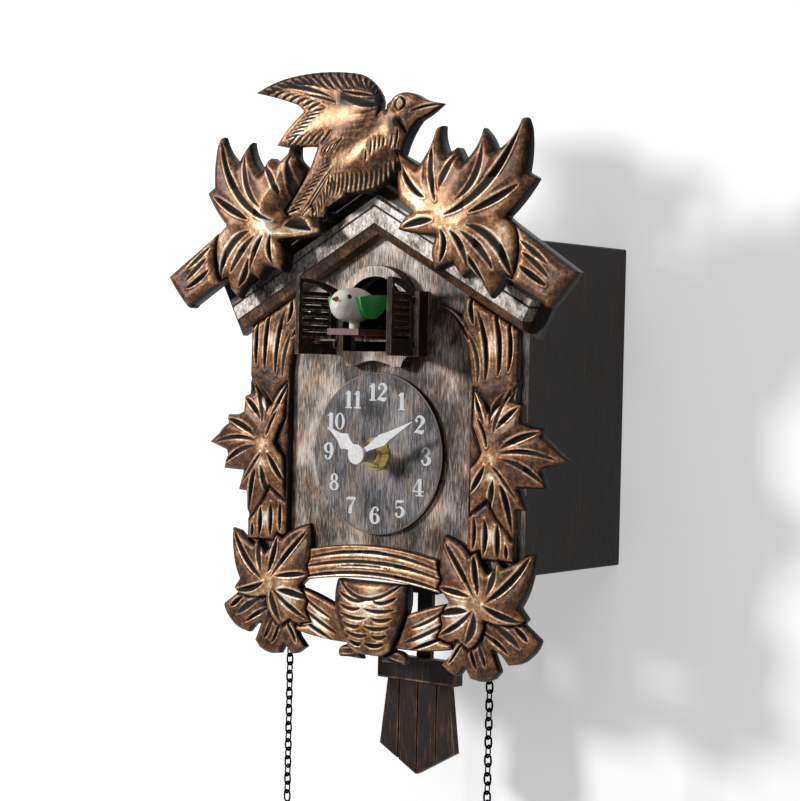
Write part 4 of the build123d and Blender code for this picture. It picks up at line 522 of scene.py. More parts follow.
def to_object(mesh: BMesh, name: str, finish: Finish, body: str,
              smooth: bool = True) -> Piece:
    """Turn a bmesh into a finished piece that rides on a body.

    Args:
        mesh: The bmesh, in metres and in place; it is freed.
        name: The piece's name.
        finish: Its finish.
        body: The body that it moves with.
        smooth: Whether its faces are shaded smooth.

    Returns:
        The new object.
    """
    data = bpy.data.meshes.new(name)
    bmesh.ops.recalc_face_normals(mesh, faces=mesh.faces)
    mesh.to_mesh(data)
    mesh.free()
    for face in data.polygons:
        face.use_smooth = smooth
    piece = put(name, data)
    data.materials.append(finish.material())
    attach(piece, body)
    LOG.info("%s: %d faces on %s", name, len(data.polygons), body)
    return piece


def paint_nodes(finish: Finish, *nodes: str) -> None:
    """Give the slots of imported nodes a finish."""
    for node in nodes:
        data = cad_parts[node].data
        if not data.materials:
            data.materials.append(finish.material())
        for slot in range(len(data.materials)):
            data.materials[slot] = finish.material()


def merged_copy(node: str) -> BMesh:
    """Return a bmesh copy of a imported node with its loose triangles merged."""
    copy = bmesh.new()
    copy.from_mesh(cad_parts[node].data)
    bmesh.ops.remove_doubles(copy, verts=copy.verts, dist=1e-6)
    return copy


def round_off(mesh: BMesh, edges: list[BMEdge], width: float,
              segments: int = 2) -> list[BMFace]:
    """Round edges off.

    Args:
        mesh: The edges' bmesh.
        edges: The edges.
        width: Width of the rounding, mm.
        segments: Faces across it.

    Returns:
        The rounding's faces.
    """
    return bmesh.ops.bevel(mesh, geom=edges, offset=width * MM, affect="EDGES",
                           segments=segments, profile=0.5, material=-1,
                           clamp_overlap=True)["faces"]


def thicken(mesh: BMesh, faces: list[BMFace], depth: float) -> None:
    """Extrude flat faces towards the wall by a depth in mm, or to the front if it is negative."""
    grown = bmesh.ops.extrude_face_region(mesh, geom=faces)
    moved = [item for item in grown["geom"] if isinstance(item, BMVert)]
    bmesh.ops.translate(mesh, verts=moved, vec=(0, depth * MM, 0))


def add_rod(mesh: BMesh, segments: int, radius: float, middle: float,
            length: float) -> None:
    """Add a round rod on the hands' axis.

    Args:
        mesh: The bmesh that gets it.
        segments: Facets round it.
        radius: Its radius, mm.
        middle: Depth of its middle from the wall, mm.
        length: Its length, mm.
    """
    bmesh.ops.create_cone(
        mesh, cap_ends=True, segments=segments, radius1=radius * MM, radius2=radius * MM,
        depth=length * MM, matrix=Matrix.Translation((0, -middle * MM, DIAL_Z * MM)) @ FACING)


def bend_link(mesh: BMesh, wire: float, bend: float, length: float,
              steps: int) -> list[BMVert]:
    """Lay one upright link about the origin.

    The small circle lies in the plane of the ring that it is spun round, so the link has its
    wire's width as seen square on, and no thickness the other way.

    Args:
        mesh: The bmesh that gets it.
        wire: Radius of the wire, mm.
        bend: Radius of the bent ends to the wire's middle, mm.
        length: Length of the opening, mm.
        steps: Facets round the ring.

    Returns:
        The link's corners.
    """
    ring = bmesh.ops.create_circle(mesh, segments=8, radius=wire * MM,
                                   matrix=Matrix.Translation((bend * MM, 0, 0)) @ FACING)["verts"]
    edges = list(dict.fromkeys(edge for vert in ring for edge in vert.link_edges))
    before = set(mesh.verts)
    bmesh.ops.spin(mesh, geom=ring + edges, cent=(0, 0, 0), axis=(0, 1, 0), angle=2 * math.pi,
                   steps=steps, use_merge=True)
    verts = [v for v in mesh.verts if v not in before] + [v for v in ring if v.is_valid]
    stretch = length / 2 - (bend - wire)
    level = 1e-7            # corners this near the middle stay where they are, metres
    for vert in verts:
        if abs(vert.co.z) > level:
            vert.co.z += math.copysign(stretch * MM, vert.co.z)
    return verts


def mark(data: bpy.types.Mesh, name: str, values: np.ndarray | list[float]) -> None:
    """Write one number for each corner of a mesh, for its finish to read."""
    layer = data.attributes.new(name, "FLOAT", "POINT")
    layer.data.foreach_set("value", np.asarray(values, np.float32))


def edged(node: str, finish: Finish, body: str, width: float = 0.4) -> Piece:
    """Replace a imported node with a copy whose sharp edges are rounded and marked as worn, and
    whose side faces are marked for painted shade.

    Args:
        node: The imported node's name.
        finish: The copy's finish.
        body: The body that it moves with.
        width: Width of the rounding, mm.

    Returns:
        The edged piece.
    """
    copy = merged_copy(node)
    bmesh.ops.dissolve_limit(copy, angle_limit=math.radians(1.5), verts=copy.verts,
                             edges=copy.edges)
    for name in ("worn", "side"):
        copy.faces.layers.float.new(name)
    worn, side = copy.faces.layers.float["worn"], copy.faces.layers.float["side"]
    sharp = [edge for edge in copy.edges if len(edge.link_faces) == 2
             and edge.calc_face_angle_signed(0.0) > math.radians(40)]
    rounding = round_off(copy, sharp, width)
    copy.normal_update()
    for face in copy.faces:
        # Faces that turn from the front are marked for painted shade
        face[side] = 1.0 if face.normal.y > -0.5 else 0.0
    for face in rounding:
        face[worn] = 1.0
    piece = to_object(copy, node + "_edged", finish, body, smooth=False)
    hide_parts(node)
    return piece


# ---------------------------------------------------------------- carved ornaments
@dataclass(frozen=True)
class Gouge:
    """One lens-shaped cut with a round bottom, from one point over a second to a third, in mm."""

    start: Pair
    middle: Pair
    end: Pair
    half_width: float
    depth: float = 1.5
    blunt: float = 0.6      # lower is blunter at the ends

    def line(self, centre: Pair, side: int, steps: int = 22) -> np.ndarray:
        """Return points along the cut.

        Args:
            centre: Middle of the ornament, mm.
            side: 1 as drawn or -1 mirrored.
            steps: Number of points.

        Returns:
            An array of x and height, mm.
        """
        first, mid, last = (np.array(p, float) for p in (self.start, self.middle, self.end))
        control = 2 * mid - (first + last) / 2
        t = np.linspace(0, 1, steps)[:, None]
        points = (1 - t) ** 2 * first + 2 * t * (1 - t) * control + t ** 2 * last
        points[:, 0] *= side
        return points + np.array(centre)


@dataclass(frozen=True)
class Shade:
    """A stretch that the rubbing cloth missed, along a line in mm from the ornament's middle."""

    line: tuple[Pair, ...]
    radius: float
    amount: float = 0.4


def distance_to_line(points: np.ndarray, line: np.ndarray) -> tuple[np.ndarray, np.ndarray]:
    """Measure how far points lie from a run of short segments.

    Args:
        points: Points as rows of x and height.
        line: The run's corners, in the same form.

    Returns:
        The distance of each point, and how far along the run its nearest place is, from 0 to 1.
    """
    best = np.full(len(points), 1e9)
    along = np.zeros(len(points))
    count = len(line) - 1
    for index in range(count):
        origin, span = line[index], line[index + 1] - line[index]
        t = np.clip(((points - origin) @ span) / max(span @ span, 1e-12), 0, 1)
        gap = np.linalg.norm(points - origin - t[:, None] * span, axis=1)
        nearer = gap < best
        best = np.where(nearer, gap, best)
        along = np.where(nearer, (index + t) / count, along)
    return best, along


@dataclass(frozen=True)
class Cloth:
    """How much metal the rubbing cloth leaves, with a painted highlight near the rim and painted
    shade on the flanks: the share of each cause, from 0 to 1.
    """

    even: float = 0.41              # on an even place
    proud: float = 0.26             # where the front stands proud of what is round it
    proud_span: float = 0.8         # by this much, mm
    # The lip's pale is partly rubbed metal and partly a painted highlight
    lip: float = 0.5                # on the lip of a cut
    heart: float = 0.34             # in the pale middle
    dusk: float = 0.12              # taken off far from it
    # Painted highlight: a thin pale line just inside the rim
    rim: float = 0.14               # near the rim
    # Painted shade: how much the flanks that turn from the front are darkened
    steep: float = 0.3              # taken off the flanks


def around(plan: np.ndarray, line: np.ndarray, reach: float) -> np.ndarray:
    """Return which points lie in the box round a line's corners, widened by a reach."""
    return np.all((plan > line.min(0) - reach) & (plan < line.max(0) + reach), axis=1)


@dataclass
class Carving:
    """A packed ornament, refined and then carved on its front."""

    node: str
    centre: Pair         # x and height from the hanger hole, mm
    back: float                         # depth of its back from the wall, mm
    gouges: list[Gouge]
    side: int = 1
    voxel: float = 0.45
    roll: float = 2.2                   # radius of the rolled edge
    heart: float = 14.0                 # radius of the pale middle, mm
    hearts: list[Pair] = field(default_factory=lambda: [(0.0, 0.0)])
    body: str = "clock_body"
    full_depth: float = 4.0             # cuts reach their whole depth from this height
    soften: float = 0.0                 # share of the hand-rounding over creases
    soften_reaches: tuple[int, ...] = (9, 9, 6, 4)      # half millimetres, one pass each
    soften_limit: float = 2.6           # a crease is filled by no more than this in a pass, mm
    cloth: Cloth = Cloth()
    shades: list[Shade] = field(default_factory=list)
    twin: str = ""                      # node whose mirrored outline is the leaf's real rim
    under: str = ""                     # node that the front sinks under
    tuck: float = 9.0                   # how far from that node its rim is looked for, mm
    tuck_slope: float = 6.5             # the front sinks over this distance from it, mm
    tuck_height: float = 1.4            # what is left of the front's height beside it, mm
    pull_reach: float = 3.0             # points this near are drawn under it, mm
    overlap: float = 1.0                # how far past its rim they go, mm
    reach: float = 3.5                  # how far past its line a cut works on the front, mm
    burr: float = 0.3                   # height of the burr beside a cut, mm
    burr_width: float = 0.45            # mm
    bowl: float = 0.75                  # depth of the broad hollow round a cut, mm
    bowl_width: float = 2.4             # in half widths of the cut

    def rim(self, node: str, mirror: int = 1,
            drop: float = 0.0) -> list[tuple[np.ndarray, np.ndarray]]:
        """Return the edges where a node's front turns down.

        Args:
            node: The node's name.
            mirror: -1 to turn its left and right round.
            drop: How far behind this ornament's back the node may reach, mm.

        Returns:
            The edges' ends as pairs of x and height, in mm.
        """
        copy = merged_copy(node)
        copy.normal_update()
        found = []
        for edge in copy.edges:
            if len(edge.link_faces) != 2:
                continue
            fronts = [face.normal.y < -0.35 for face in edge.link_faces]
            if fronts[0] == fronts[1] or edge.calc_face_angle_signed(0.0) < 0.3:
                continue
            ends = [np.array((v.co.x * mirror, v.co.z)) / MM for v in edge.verts]
            if -edge.verts[0].co.y / MM > self.back + 1.0 - drop:
                found.append(tuple(ends))
        copy.free()
        return found

    def gap_to(self, plan: np.ndarray, rim: list[tuple[np.ndarray, np.ndarray]],
               reach: float) -> tuple[np.ndarray, np.ndarray]:
        """Measure how far points lie from a rim, and which way it is.

        Args:
            plan: Points as rows of x and height, mm.
            rim: The rim's edges.
            reach: Distance past which nothing is measured, mm.

        Returns:
            The distances, or 99 past the reach, and the way to the nearest place, in mm.
        """
        edge = np.full(len(plan), 99.0)
        way = np.zeros((len(plan), 2))
        for first, last in rim:
            near = np.flatnonzero(around(plan, np.array([first, last]), reach))
            if not len(near):
                continue
            gap, along = distance_to_line(plan[near], np.array([first, last]))
            closer = gap < edge[near]
            picked = near[closer]
            edge[picked] = gap[closer]
            way[picked] = first + along[closer, None] * (last - first) - plan[picked]
        return edge, way

    def refined(self) -> Piece:
        """Return the ornament as an even close-knit mesh."""
        copy = merged_copy(self.node)
        data = bpy.data.meshes.new(self.node + "_carved")
        copy.to_mesh(data)
        copy.free()
        holder = put(self.node + "_holder", data)
        knit = holder.modifiers.new("knit", "REMESH")
        knit.mode = "VOXEL"
        knit.voxel_size = self.voxel * MM
        evaluated = holder.evaluated_get(bpy.context.evaluated_depsgraph_get())
        even = bpy.data.meshes.new_from_object(evaluated)
        bpy.data.objects.remove(holder)
        bpy.data.meshes.remove(data)
        return put(self.node + "_carved", even)

    def softened(self, plan: np.ndarray, height: np.ndarray, reach: int = 5,
                 cell: float = 0.5) -> np.ndarray:
        """Return the front's height at each point, averaged over the places round it.

        Args:
            plan: Points as rows of x and height, mm.
            height: How far each stands in front of the back, mm.
            reach: Squares averaged to each side.
            cell: Side of one square of the map, mm.

        Returns:
            The averaged height of each point, mm.
        """
        spot = np.floor((plan - plan.min(0)) / cell).astype(int) + reach + 1
        tops = np.zeros(tuple(spot.max(0) + reach + 2))
        np.maximum.at(tops, (spot[:, 0], spot[:, 1]), height)
        filled = (tops > 0).astype(float)
        for _ in range(2):
            for axis in (0, 1):
                tops, filled = (sum(np.roll(grid, k, axis) for k in range(-reach, reach + 1))
                                for grid in (tops, filled))
        mean = tops / np.maximum(filled, 1e-6)
        return mean[spot[:, 0], spot[:, 1]]

    def engrave(self, plan: np.ndarray) -> tuple[np.ndarray, ...]:
        """Cut the gouges.

        Args:
            plan: Points as rows of x and height, mm.

        Returns:
            For each point: how far a cut takes it back, or a burr forward as a minus, in mm; how
            much it is a cut's floor; how much it is a cut's lip; and the broad hollow round the
            cuts, in mm.
        """
        lowered, cut, lip, hollow = (np.zeros(len(plan)) for _ in range(4))
        for gouge in self.gouges:
            line = gouge.line(self.centre, self.side)
            near = around(plan, line, self.reach)
            if not near.any():
                continue
            gap, along = distance_to_line(plan[near], line)
            taper = np.maximum(np.sin(np.pi * np.clip(along, 0.02, 0.98)), 0.02) ** gouge.blunt
            width = gouge.half_width * taper
            share = gap / width
            deep = gouge.depth * (width / gouge.half_width) * np.clip(1 - share ** 2, 0, 1)
            sunk = np.maximum(lowered[near], deep)
            raised = self.burr * np.exp(-((gap - width - self.burr_width) / self.burr_width) ** 2)
            lowered[near] = np.where(deep > 0, sunk, np.minimum(sunk, 0) - raised * (sunk <= 0))
            cut[near] = np.maximum(cut[near], 1 - np.clip((share - 0.62) / 0.4, 0, 1))
            fade = np.clip(width / gouge.half_width, 0, 1)
            lip[near] = np.maximum(lip[near], fade * np.exp(-((gap - width - 0.30) / 0.35) ** 2))
            bowl = np.exp(-(gap / (self.bowl_width * gouge.half_width)) ** 2)
            hollow[near] = np.maximum(hollow[near], self.bowl * fade * bowl)
        return lowered, cut, lip, hollow

    def rubbed(self, plan: np.ndarray, height: np.ndarray, lip: np.ndarray,
               edge: np.ndarray) -> np.ndarray:
        """Rub the front with a cloth, hardest where it stands proud, and paint a highlight near the
        rim and partly on the cuts' lips.

        Args:
            plan: Points as rows of x and height, mm.
            height: How far each stands in front of the back, mm.
            lip: How much each is a cut's lip.
            edge: How far each lies from the rim, mm.

        Returns:
            How much metal each point has: 0 is black and 1 is the palest.
        """
        nearest = np.full(len(plan), 99.0)
        for x, z in self.hearts:
            middle = np.array(self.centre) + np.array((x * self.side, z))
            nearest = np.minimum(nearest, np.linalg.norm(plan - middle, axis=1) / self.heart)
        pale = np.clip(1.15 - nearest, 0, 1)
        dusk = np.clip((nearest - 1.0) / 1.6, 0, 1) if self.hearts else 0.0
        proud = height - self.softened(plan, height)
        cloth = self.cloth
        # The lips' pale is partly a painted highlight
        rub = (cloth.even + cloth.proud * np.clip(proud / cloth.proud_span, -1.2, 1.2)
               + cloth.lip * lip + cloth.heart * pale - cloth.dusk * dusk)
        # Painted highlight just inside the rim
        rub += cloth.rim * np.exp(-((edge - 1.0) / 0.6) ** 2)
        for shade in self.shades:
            line = np.array(shade.line) * (self.side, 1) + np.array(self.centre)
            gap, _ = distance_to_line(plan, line)
            rub -= shade.amount * np.clip(1.4 - gap / shade.radius, 0, 1)
        return np.clip(rub, 0, 1)

    def build(self, finish: Finish) -> Piece:
        """Carve the ornament and dress it.

        Args:
            finish: The ornament's finish.

        Returns:
            The carved piece.
        """
        piece = self.refined()
        data = piece.data
        count = len(data.vertices)
        flat = np.zeros(count * 3)
        data.vertices.foreach_get("co", flat)
        points = flat.reshape(-1, 3) / MM
        plan = points[:, [0, 2]]
        height = -points[:, 1] - self.back
        for reach in self.soften_reaches if self.soften else ():
            mean = self.softened(plan, height, reach)
            share = self.soften * np.clip(height / 3.0, 0, 1)
            points[:, 1] += share * np.maximum(height - mean, -self.soften_limit)
            height = -points[:, 1] - self.back
        weight = np.clip(height / self.full_depth, 0, 1)
        lowered, cut, lip, hollow = self.engrave(plan)
        rim = self.rim(self.twin, -1) if self.twin else self.rim(self.node)
        edge, _ = self.gap_to(plan, rim, max(3.0, self.roll))
        if self.under:
            gap, way = self.gap_to(plan, self.rim(self.under, drop=4.0), self.tuck)
            hollow += (np.maximum(height - self.tuck_height, 0)
                       * np.clip(1.15 - gap / self.tuck_slope, 0, 1) ** 1.3)
            pull = (np.clip((self.pull_reach - gap) / 1.3, 0, 1)
                    * (1 + self.overlap / np.maximum(gap, 0.3)))
            points[:, [0, 2]] += way * pull[:, None]
        inside = np.clip(1 - edge / self.roll, 0, 1)
        lowered += self.roll * (1 - np.sqrt(1 - np.minimum(inside, 0.999) ** 2)) * 0.9
        points[:, 1] += (lowered + hollow) * weight
        height = -points[:, 1] - self.back
        # Black is left in the cuts, and the front darkens low down on the flanks; further down, the
        # steep flanks get painted shade
        mark(data, "cut", np.maximum(cut, np.clip(0.8 - height / 1.8, 0, 1) * 0.85))
        rub = self.rubbed(plan, height, lip, edge)
        data.vertices.foreach_set("co", (points * MM).ravel())
        data.update()
        normals = np.zeros(count * 3)
        data.vertices.foreach_get("normal", normals)
        # Painted shade on the flanks, by how far each place turns from the front
        steep = np.clip((0.3 + normals.reshape(-1, 3)[:, 1]) / 0.3, 0, 1)
        mark(data, "rub", rub - self.cloth.steep * steep)
        for face in data.polygons:
            face.use_smooth = True
        data.materials.clear()
        data.materials.append(finish.material())
        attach(piece, self.body)
        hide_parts(self.node)
        LOG.info("%s: %d faces", piece.name, len(data.polygons))
        return piece


def G(*numbers: float, depth: float = 1.5, blunt: float = 0.6) -> Gouge:
    """Write a gouge as six coordinates and its half width."""
    x0, z0, x1, z1, x2, z2, half = numbers
    return Gouge((x0, z0), (x1, z1), (x2, z2), half, depth, blunt)


CROWN_CUTS = [
    G(-4.5, 6.6, -7.9, 17.5, -8.2, 30.0, 1.5), G(-10.4, 8.0, -18.2, 12.8, -24.3, 22.0, 1.35),
    G(-2.6, 12.0, -0.4, 18.5, 4.8, 25.6, 1.7), G(5.8, 6.6, 14.6, 16.0, 17.4, 30.5, 1.6),
    G(0.6, 0.4, 21.0, 13.6, 34.4, 36.8, 1.9, depth=2.0), G(13.2, 1.2, 25.0, 6.4, 35.6, 12.0, 1.6),
    G(11.8, -4.2, 24.6, -11.2, 32.4, -25.4, 2.2, depth=2.2),
    G(8.6, -6.6, 17.6, -13.8, 24.2, -22.6, 1.7),
    G(3.4, -6.4, 8.6, -12.8, 11.8, -21.5, 1.5), G(-1.3, -6.0, 0.2, -12.4, -2.2, -19.4, 1.35),
    G(-6.0, -1.8, -14.0, -2.3, -22.4, -4.4, 1.6), G(12.5, -17.0, 15.5, -22.5, 20.0, -29.0, 1.3),
    G(37.8, -11.2, 44.8, -16.0, 51.8, -21.2, 1.25), G(39.4, -16.2, 46.2, -21.2, 52.4, -26.8, 1.25),
    G(37.8, -21.6, 44.2, -25.8, 51.0, -29.8, 1.3),
]
SIDE_CUTS = [
    G(-1.4, 15.0, -1.0, 20.6, 4.6, 27.8, 1.35), G(0.8, 10.6, 2.2, 18.5, 7.8, 29.6, 1.1),
    G(1.8, 12.4, 6.0, 17.0, 12.2, 22.0, 1.25), G(4.6, 4.2, 12.6, 8.6, 22.6, 11.8, 1.35),
    G(3.6, 2.0, 17.0, 3.3, 31.4, 0.4, 1.0), G(5.6, -0.4, 15.4, -3.2, 24.6, -9.2, 1.25),
    G(0.8, -3.4, 6.0, -9.2, 12.8, -17.4, 0.9), G(4.4, -11.2, 7.2, -18.0, 9.6, -30.6, 1.4),
    G(1.0, -9.4, -0.4, -15.6, -1.6, -21.8, 1.55), G(-3.4, -3.6, -7.4, -9.8, -11.6, -15.4, 1.4),
    G(-4.6, 14.0, -8.0, 20.4, -11.6, 27.8, 1.0), G(-2.4, 4.6, -4.4, 10.6, -7.8, 16.4, 0.7),
    # Upright cuts of the post, above and below the leaf
    G(-9.6, 31.5, -10.4, 43.0, -15.0, 53.0, 1.1), G(-5.4, 33.0, -5.8, 48.0, -11.0, 64.0, 1.35),
    G(1.2, 35.0, 1.3, 49.0, -1.6, 63.0, 1.35), G(6.4, 37.0, 7.0, 48.0, 5.6, 58.5, 1.1),
    G(-14.6, 50.0, -21.0, 57.6, -30.0, 64.6, 1.3), G(-12.0, 57.0, -14.0, 63.0, -13.6, 69.0, 1.1),
    G(-9.9, -25.5, -9.5, -32.5, -9.9, -39.5, 1.0), G(-4.2, -26.5, -3.8, -33.5, -4.2, -41.5, 1.35),
    G(2.4, -28.5, 2.5, -35.0, 2.9, -42.5, 1.4), G(7.0, -36.5, 7.2, -39.5, 7.4, -43.0, 0.9),
]
CORNER_CUTS = [
    G(-2.6, 2.6, -10.8, 13.4, -20.6, 24.2, 1.25), G(-0.8, 4.4, -2.9, 12.6, -4.4, 20.4, 1.45),
    G(3.8, 4.8, 5.9, 10.8, 6.9, 17.2, 1.5), G(2.8, 1.0, 14.2, 10.0, 23.4, 21.8, 1.5),
    G(2.0, -0.4, 11.0, -4.1, 20.2, -5.6, 1.45), G(-2.6, -4.0, -3.8, -10.8, -7.6, -17.6, 1.9),
    G(-3.4, -2.8, -11.8, -9.6, -22.6, -15.6, 1.3), G(-6.4, -3.4, -14.0, -4.1, -22.4, -6.2, 1.6),
    G(-5.4, 3.0, -14.0, 4.3, -22.4, 5.2, 1.15),
    G(6.6, -8.6, 13.8, -12.4, 19.8, -16.8, 1.6), G(17.0, -8.4, 20.8, -11.2, 23.8, -13.6, 1.2),
    G(0.4, -12.4, 7.6, -15.6, 14.2, -20.0, 1.0), G(-1.6, -17.0, 0.3, -21.8, 2.6, -26.6, 1.05),
    G(-5.6, -20.0, -4.2, -24.0, -2.0, -28.2, 0.9), G(-10.0, -17.4, -13.4, -22.0, -16.6, -27.0, 0.8),
]


def bird_cuts() -> list[Gouge]:
    """Return the flying bird's feather cuts, from its wing tips to its tail.

    Returns:
        The gouges, measured from the middle of the bird.
    """
    cuts = []
    # Barbs along the upper wing's top edge, leaning with the feathers
    top = np.array([(-62.0, 33.4), (-52.0, 36.0), (-42.0, 38.2), (-32.0, 39.5), (-20.0, 39.9),
                    (-9.0, 38.6), (0.0, 35.6), (6.0, 30.6), (8.4, 25.0)])
    inner = np.array([(-55.0, 31.8), (-44.0, 34.2), (-33.0, 34.6), (-22.0, 31.6), (-12.0, 30.6),
                      (-3.0, 30.8), (2.0, 29.4), (5.0, 26.4), (6.4, 22.4)])
    for t in np.linspace(0.02, 0.98, 20):
        place = t * (len(top) - 1)
        index = min(int(place), len(top) - 2)
        share = place - index
        first = top[index] * (1 - share) + top[index + 1] * share
        last = inner[index] * (1 - share) + inner[index + 1] * share
        mid = (first + last) / 2 + np.array((-0.5, -0.4))
        cuts.append(Gouge(tuple(first), tuple(mid), tuple(last), 0.95, 0.9, 0.45))
    # The two long dark feathers, and the ones between
    cuts += [
        G(-47.0, 33.9, -33.0, 32.2, -18.4, 27.2, 1.05), G(-15.0, 28.0, -4.5, 25.0, 6.2, 23.2, 1.7),
        G(-36.0, 30.2, -27.0, 28.4, -17.0, 25.4, 0.7, depth=0.8),
        G(-14.0, 30.4, -5.0, 28.6, 4.0, 27.2, 0.6, depth=0.8),
    ]
    # Scalloped lower edge of the upper wing, then barbs on the second wing's upper left edge
    for places, rises, half, depth in (
            (((-59.0, 31.0), (-54.5, 29.8), (-50.0, 28.4), (-45.5, 27.2), (-41.0, 26.0),
              (-37.0, 24.6), (-33.5, 23.2)), (3.2, 1.7, 7.6, 2.6), 0.8, 0.9),
            (((-32.6, 21.6), (-35.0, 19.8), (-37.2, 18.0), (-39.4, 16.2), (-41.6, 14.4),
              (-43.8, 12.6), (-46.0, 10.8)), (4.4, 1.2, 8.8, 1.4), 0.6, 0.8)):
        for x, z in places:
            cuts.append(G(x, z, x + rises[0], z + rises[1], x + rises[2], z + rises[3], half,
                          depth=depth))
    # Barbs along the second wing's lower edge
    for x in (-45.0, -41.2, -37.4, -33.6, -29.8, -26.0):
        cuts.append(G(x, 7.6, x + 2.6, 10.2, x + 6.0, 12.2 + (x + 45.0) * 0.07, 0.75, depth=0.9))
    for x, z in ((-24.6, 1.6), (-22.0, 2.2), (-19.4, 3.0), (-16.8, 4.2)):
        cuts.append(G(x, z, x + 1.6, z + 3.2, x + 4.4, z + 5.6, 0.6, depth=0.8))
    # Strokes on the breast and the hatched belly
    for x, low, high in ((4.2, -2.0, 3.4), (6.8, 0.2, 8.4), (9.0, 1.8, 9.2), (11.2, 3.2, 9.2),
                         (13.2, 4.2, 8.6)):
        cuts.append(G(x - 0.4, low, x, (low + high) / 2, x + 0.3, high, 0.6, depth=0.8))
    for step in range(17):
        x = -19.0 + 2.4 * step
        upper = -6.4 + 0.10 * step + (0.0 if step < 11 else 1.25 * (step - 11))
        lower = -17.4 + 0.34 * step + (0.0 if step < 12 else 0.8 * (step - 12))
        cuts.append(G(x + 1.0, upper, x + 0.4, (upper + lower) / 2, x - 1.2, lower, 0.8, depth=0.9,
                      blunt=0.45))
    # Neck and throat
    cuts += [G(15.6, 2.4, 16.8, 6.4, 17.6, 10.0, 0.6, depth=0.7),
             G(18.4, 3.2, 19.6, 7.6, 20.4, 11.6, 0.6, depth=0.7)]
    # Tail: a cut each side of the quill, then barbs that lean back from it
    cuts += [G(-13.6, -1.6, -24.4, -11.0, -36.0, -22.8, 0.6),
             G(-15.8, -4.6, -26.4, -15.4, -37.4, -25.6, 0.6)]
    for step in range(10):
        x, z = -16.6 - 2.1 * step, -4.4 - 2.05 * step
        cuts.append(G(x - 1.2, z + 1.8, x - 5.0, z + 1.4, x - 9.0, z - 0.4, 0.6, depth=0.8))
        cuts.append(G(x + 0.8, z - 2.6, x + 1.8, z - 6.0, x + 1.0, z - 10.0, 0.6, depth=0.8))
    # Eye socket and the split of the beak
    cuts += [
        G(20.2, 25.4, 18.0, 22.4, 20.2, 19.4, 0.65, depth=0.9, blunt=0.3),
        G(20.6, 25.4, 22.8, 22.6, 20.6, 19.4, 0.65, depth=0.9, blunt=0.3),
        G(26.6, 18.8, 33.0, 21.0, 42.0, 21.4, 0.6, depth=0.9),
    ]
    return cuts


BIRD_SHADES = [
    Shade(((-60.0, 32.5), (-51.0, 35.4), (-39.5, 37.4), (-28.0, 37.6), (-17.0, 35.6), (-6.0, 33.6),
           (2.0, 31.0), (6.6, 25.0)), 3.8, 0.36),
    Shade(((-14.0, 27.5), (-4.0, 25.2), (5.0, 23.6)), 2.4, 0.4),
    Shade(((-27.0, -20.0), (-15.0, -13.0), (-4.0, -10.0), (8.0, -6.5), (17.0, 0.0), (21.0, 9.0),
           (22.0, 15.0)), 4.6, 0.14),
    Shade(((17.0, 14.0), (21.0, 18.0), (26.0, 20.0)), 2.6, 0.12),
    Shade(((-41.0, -20.0), (-30.0, -10.0), (-21.0, -2.0)), 3.4, 0.10),
    Shade(((-45.0, 8.5), (-33.0, 10.0), (-22.0, 8.0)), 2.4, 0.14),
    # Where the cloth rubbed hardest: along the second wing, the back and the throat
    Shade(((-41.0, 12.5), (-28.0, 18.0), (-6.0, 20.5)), 3.6, -0.24),
    Shade(((-15.0, -1.0), (-5.0, 1.5), (2.0, 4.5)), 3.4, -0.26),
    Shade(((14.0, 12.0), (17.0, 6.0)), 2.4, -0.26),
    Shade(((18.0, 17.5), (22.0, 18.5)), 1.6, -0.2),
]
NEST_CUTS = [G(-17.6, -0.6, 0.0, -8.4, 17.6, -0.6, 1.0, depth=1.8, blunt=0.35)]
for row in range(6):            # short level cuts, staggered from row to row
    low, reach = -8.6 - 3.9 * row, 15.8 - 0.55 * row ** 1.5
    split = -1.5 if row % 2 else 2.4
    dip = 1.9 if row == 0 else 0.5
    for ends in ((-reach, low + dip, (split - reach) / 2, low - 0.9, split - 1.0, low),
                 (split + 1.4, low, (split + reach) / 2, low - 0.9, reach, low + dip)):
        NEST_CUTS.append(G(*ends, 0.95, blunt=0.4))
NEST_CUTS += [G(-17.6, -35.4, -12.8, -35.6, -8.2, -34.0, 0.8, depth=0.9),
              G(17.6, -35.4, 12.8, -35.6, 8.2, -34.0, 0.8, depth=0.9)]
BAR_CUTS = [
    G(-36.0, -2.0, 0.0, 3.0, 36.0, -2.0, 0.9, blunt=0.25),
    G(-38.0, -6.0, 0.0, -1.4, 38.0, -6.0, 0.9, blunt=0.25),
    G(-37.0, -10.4, 0.0, -6.4, 37.0, -10.4, 0.9, blunt=0.25),
    G(-12.0, 2.2, 0.0, 3.4, 14.0, 2.0, 0.4), G(-20.0, -4.6, -6.0, -3.2, 9.0, -3.6, 0.35),
]
BRANCH_CUTS = [
    G(40.0, -66.5, 31.0, -72.0, 22.0, -75.6, 0.9), G(41.0, -71.5, 30.0, -77.5, 18.0, -82.6, 1.1),
    G(42.0, -77.0, 31.0, -81.6, 21.0, -85.6, 0.9),
]


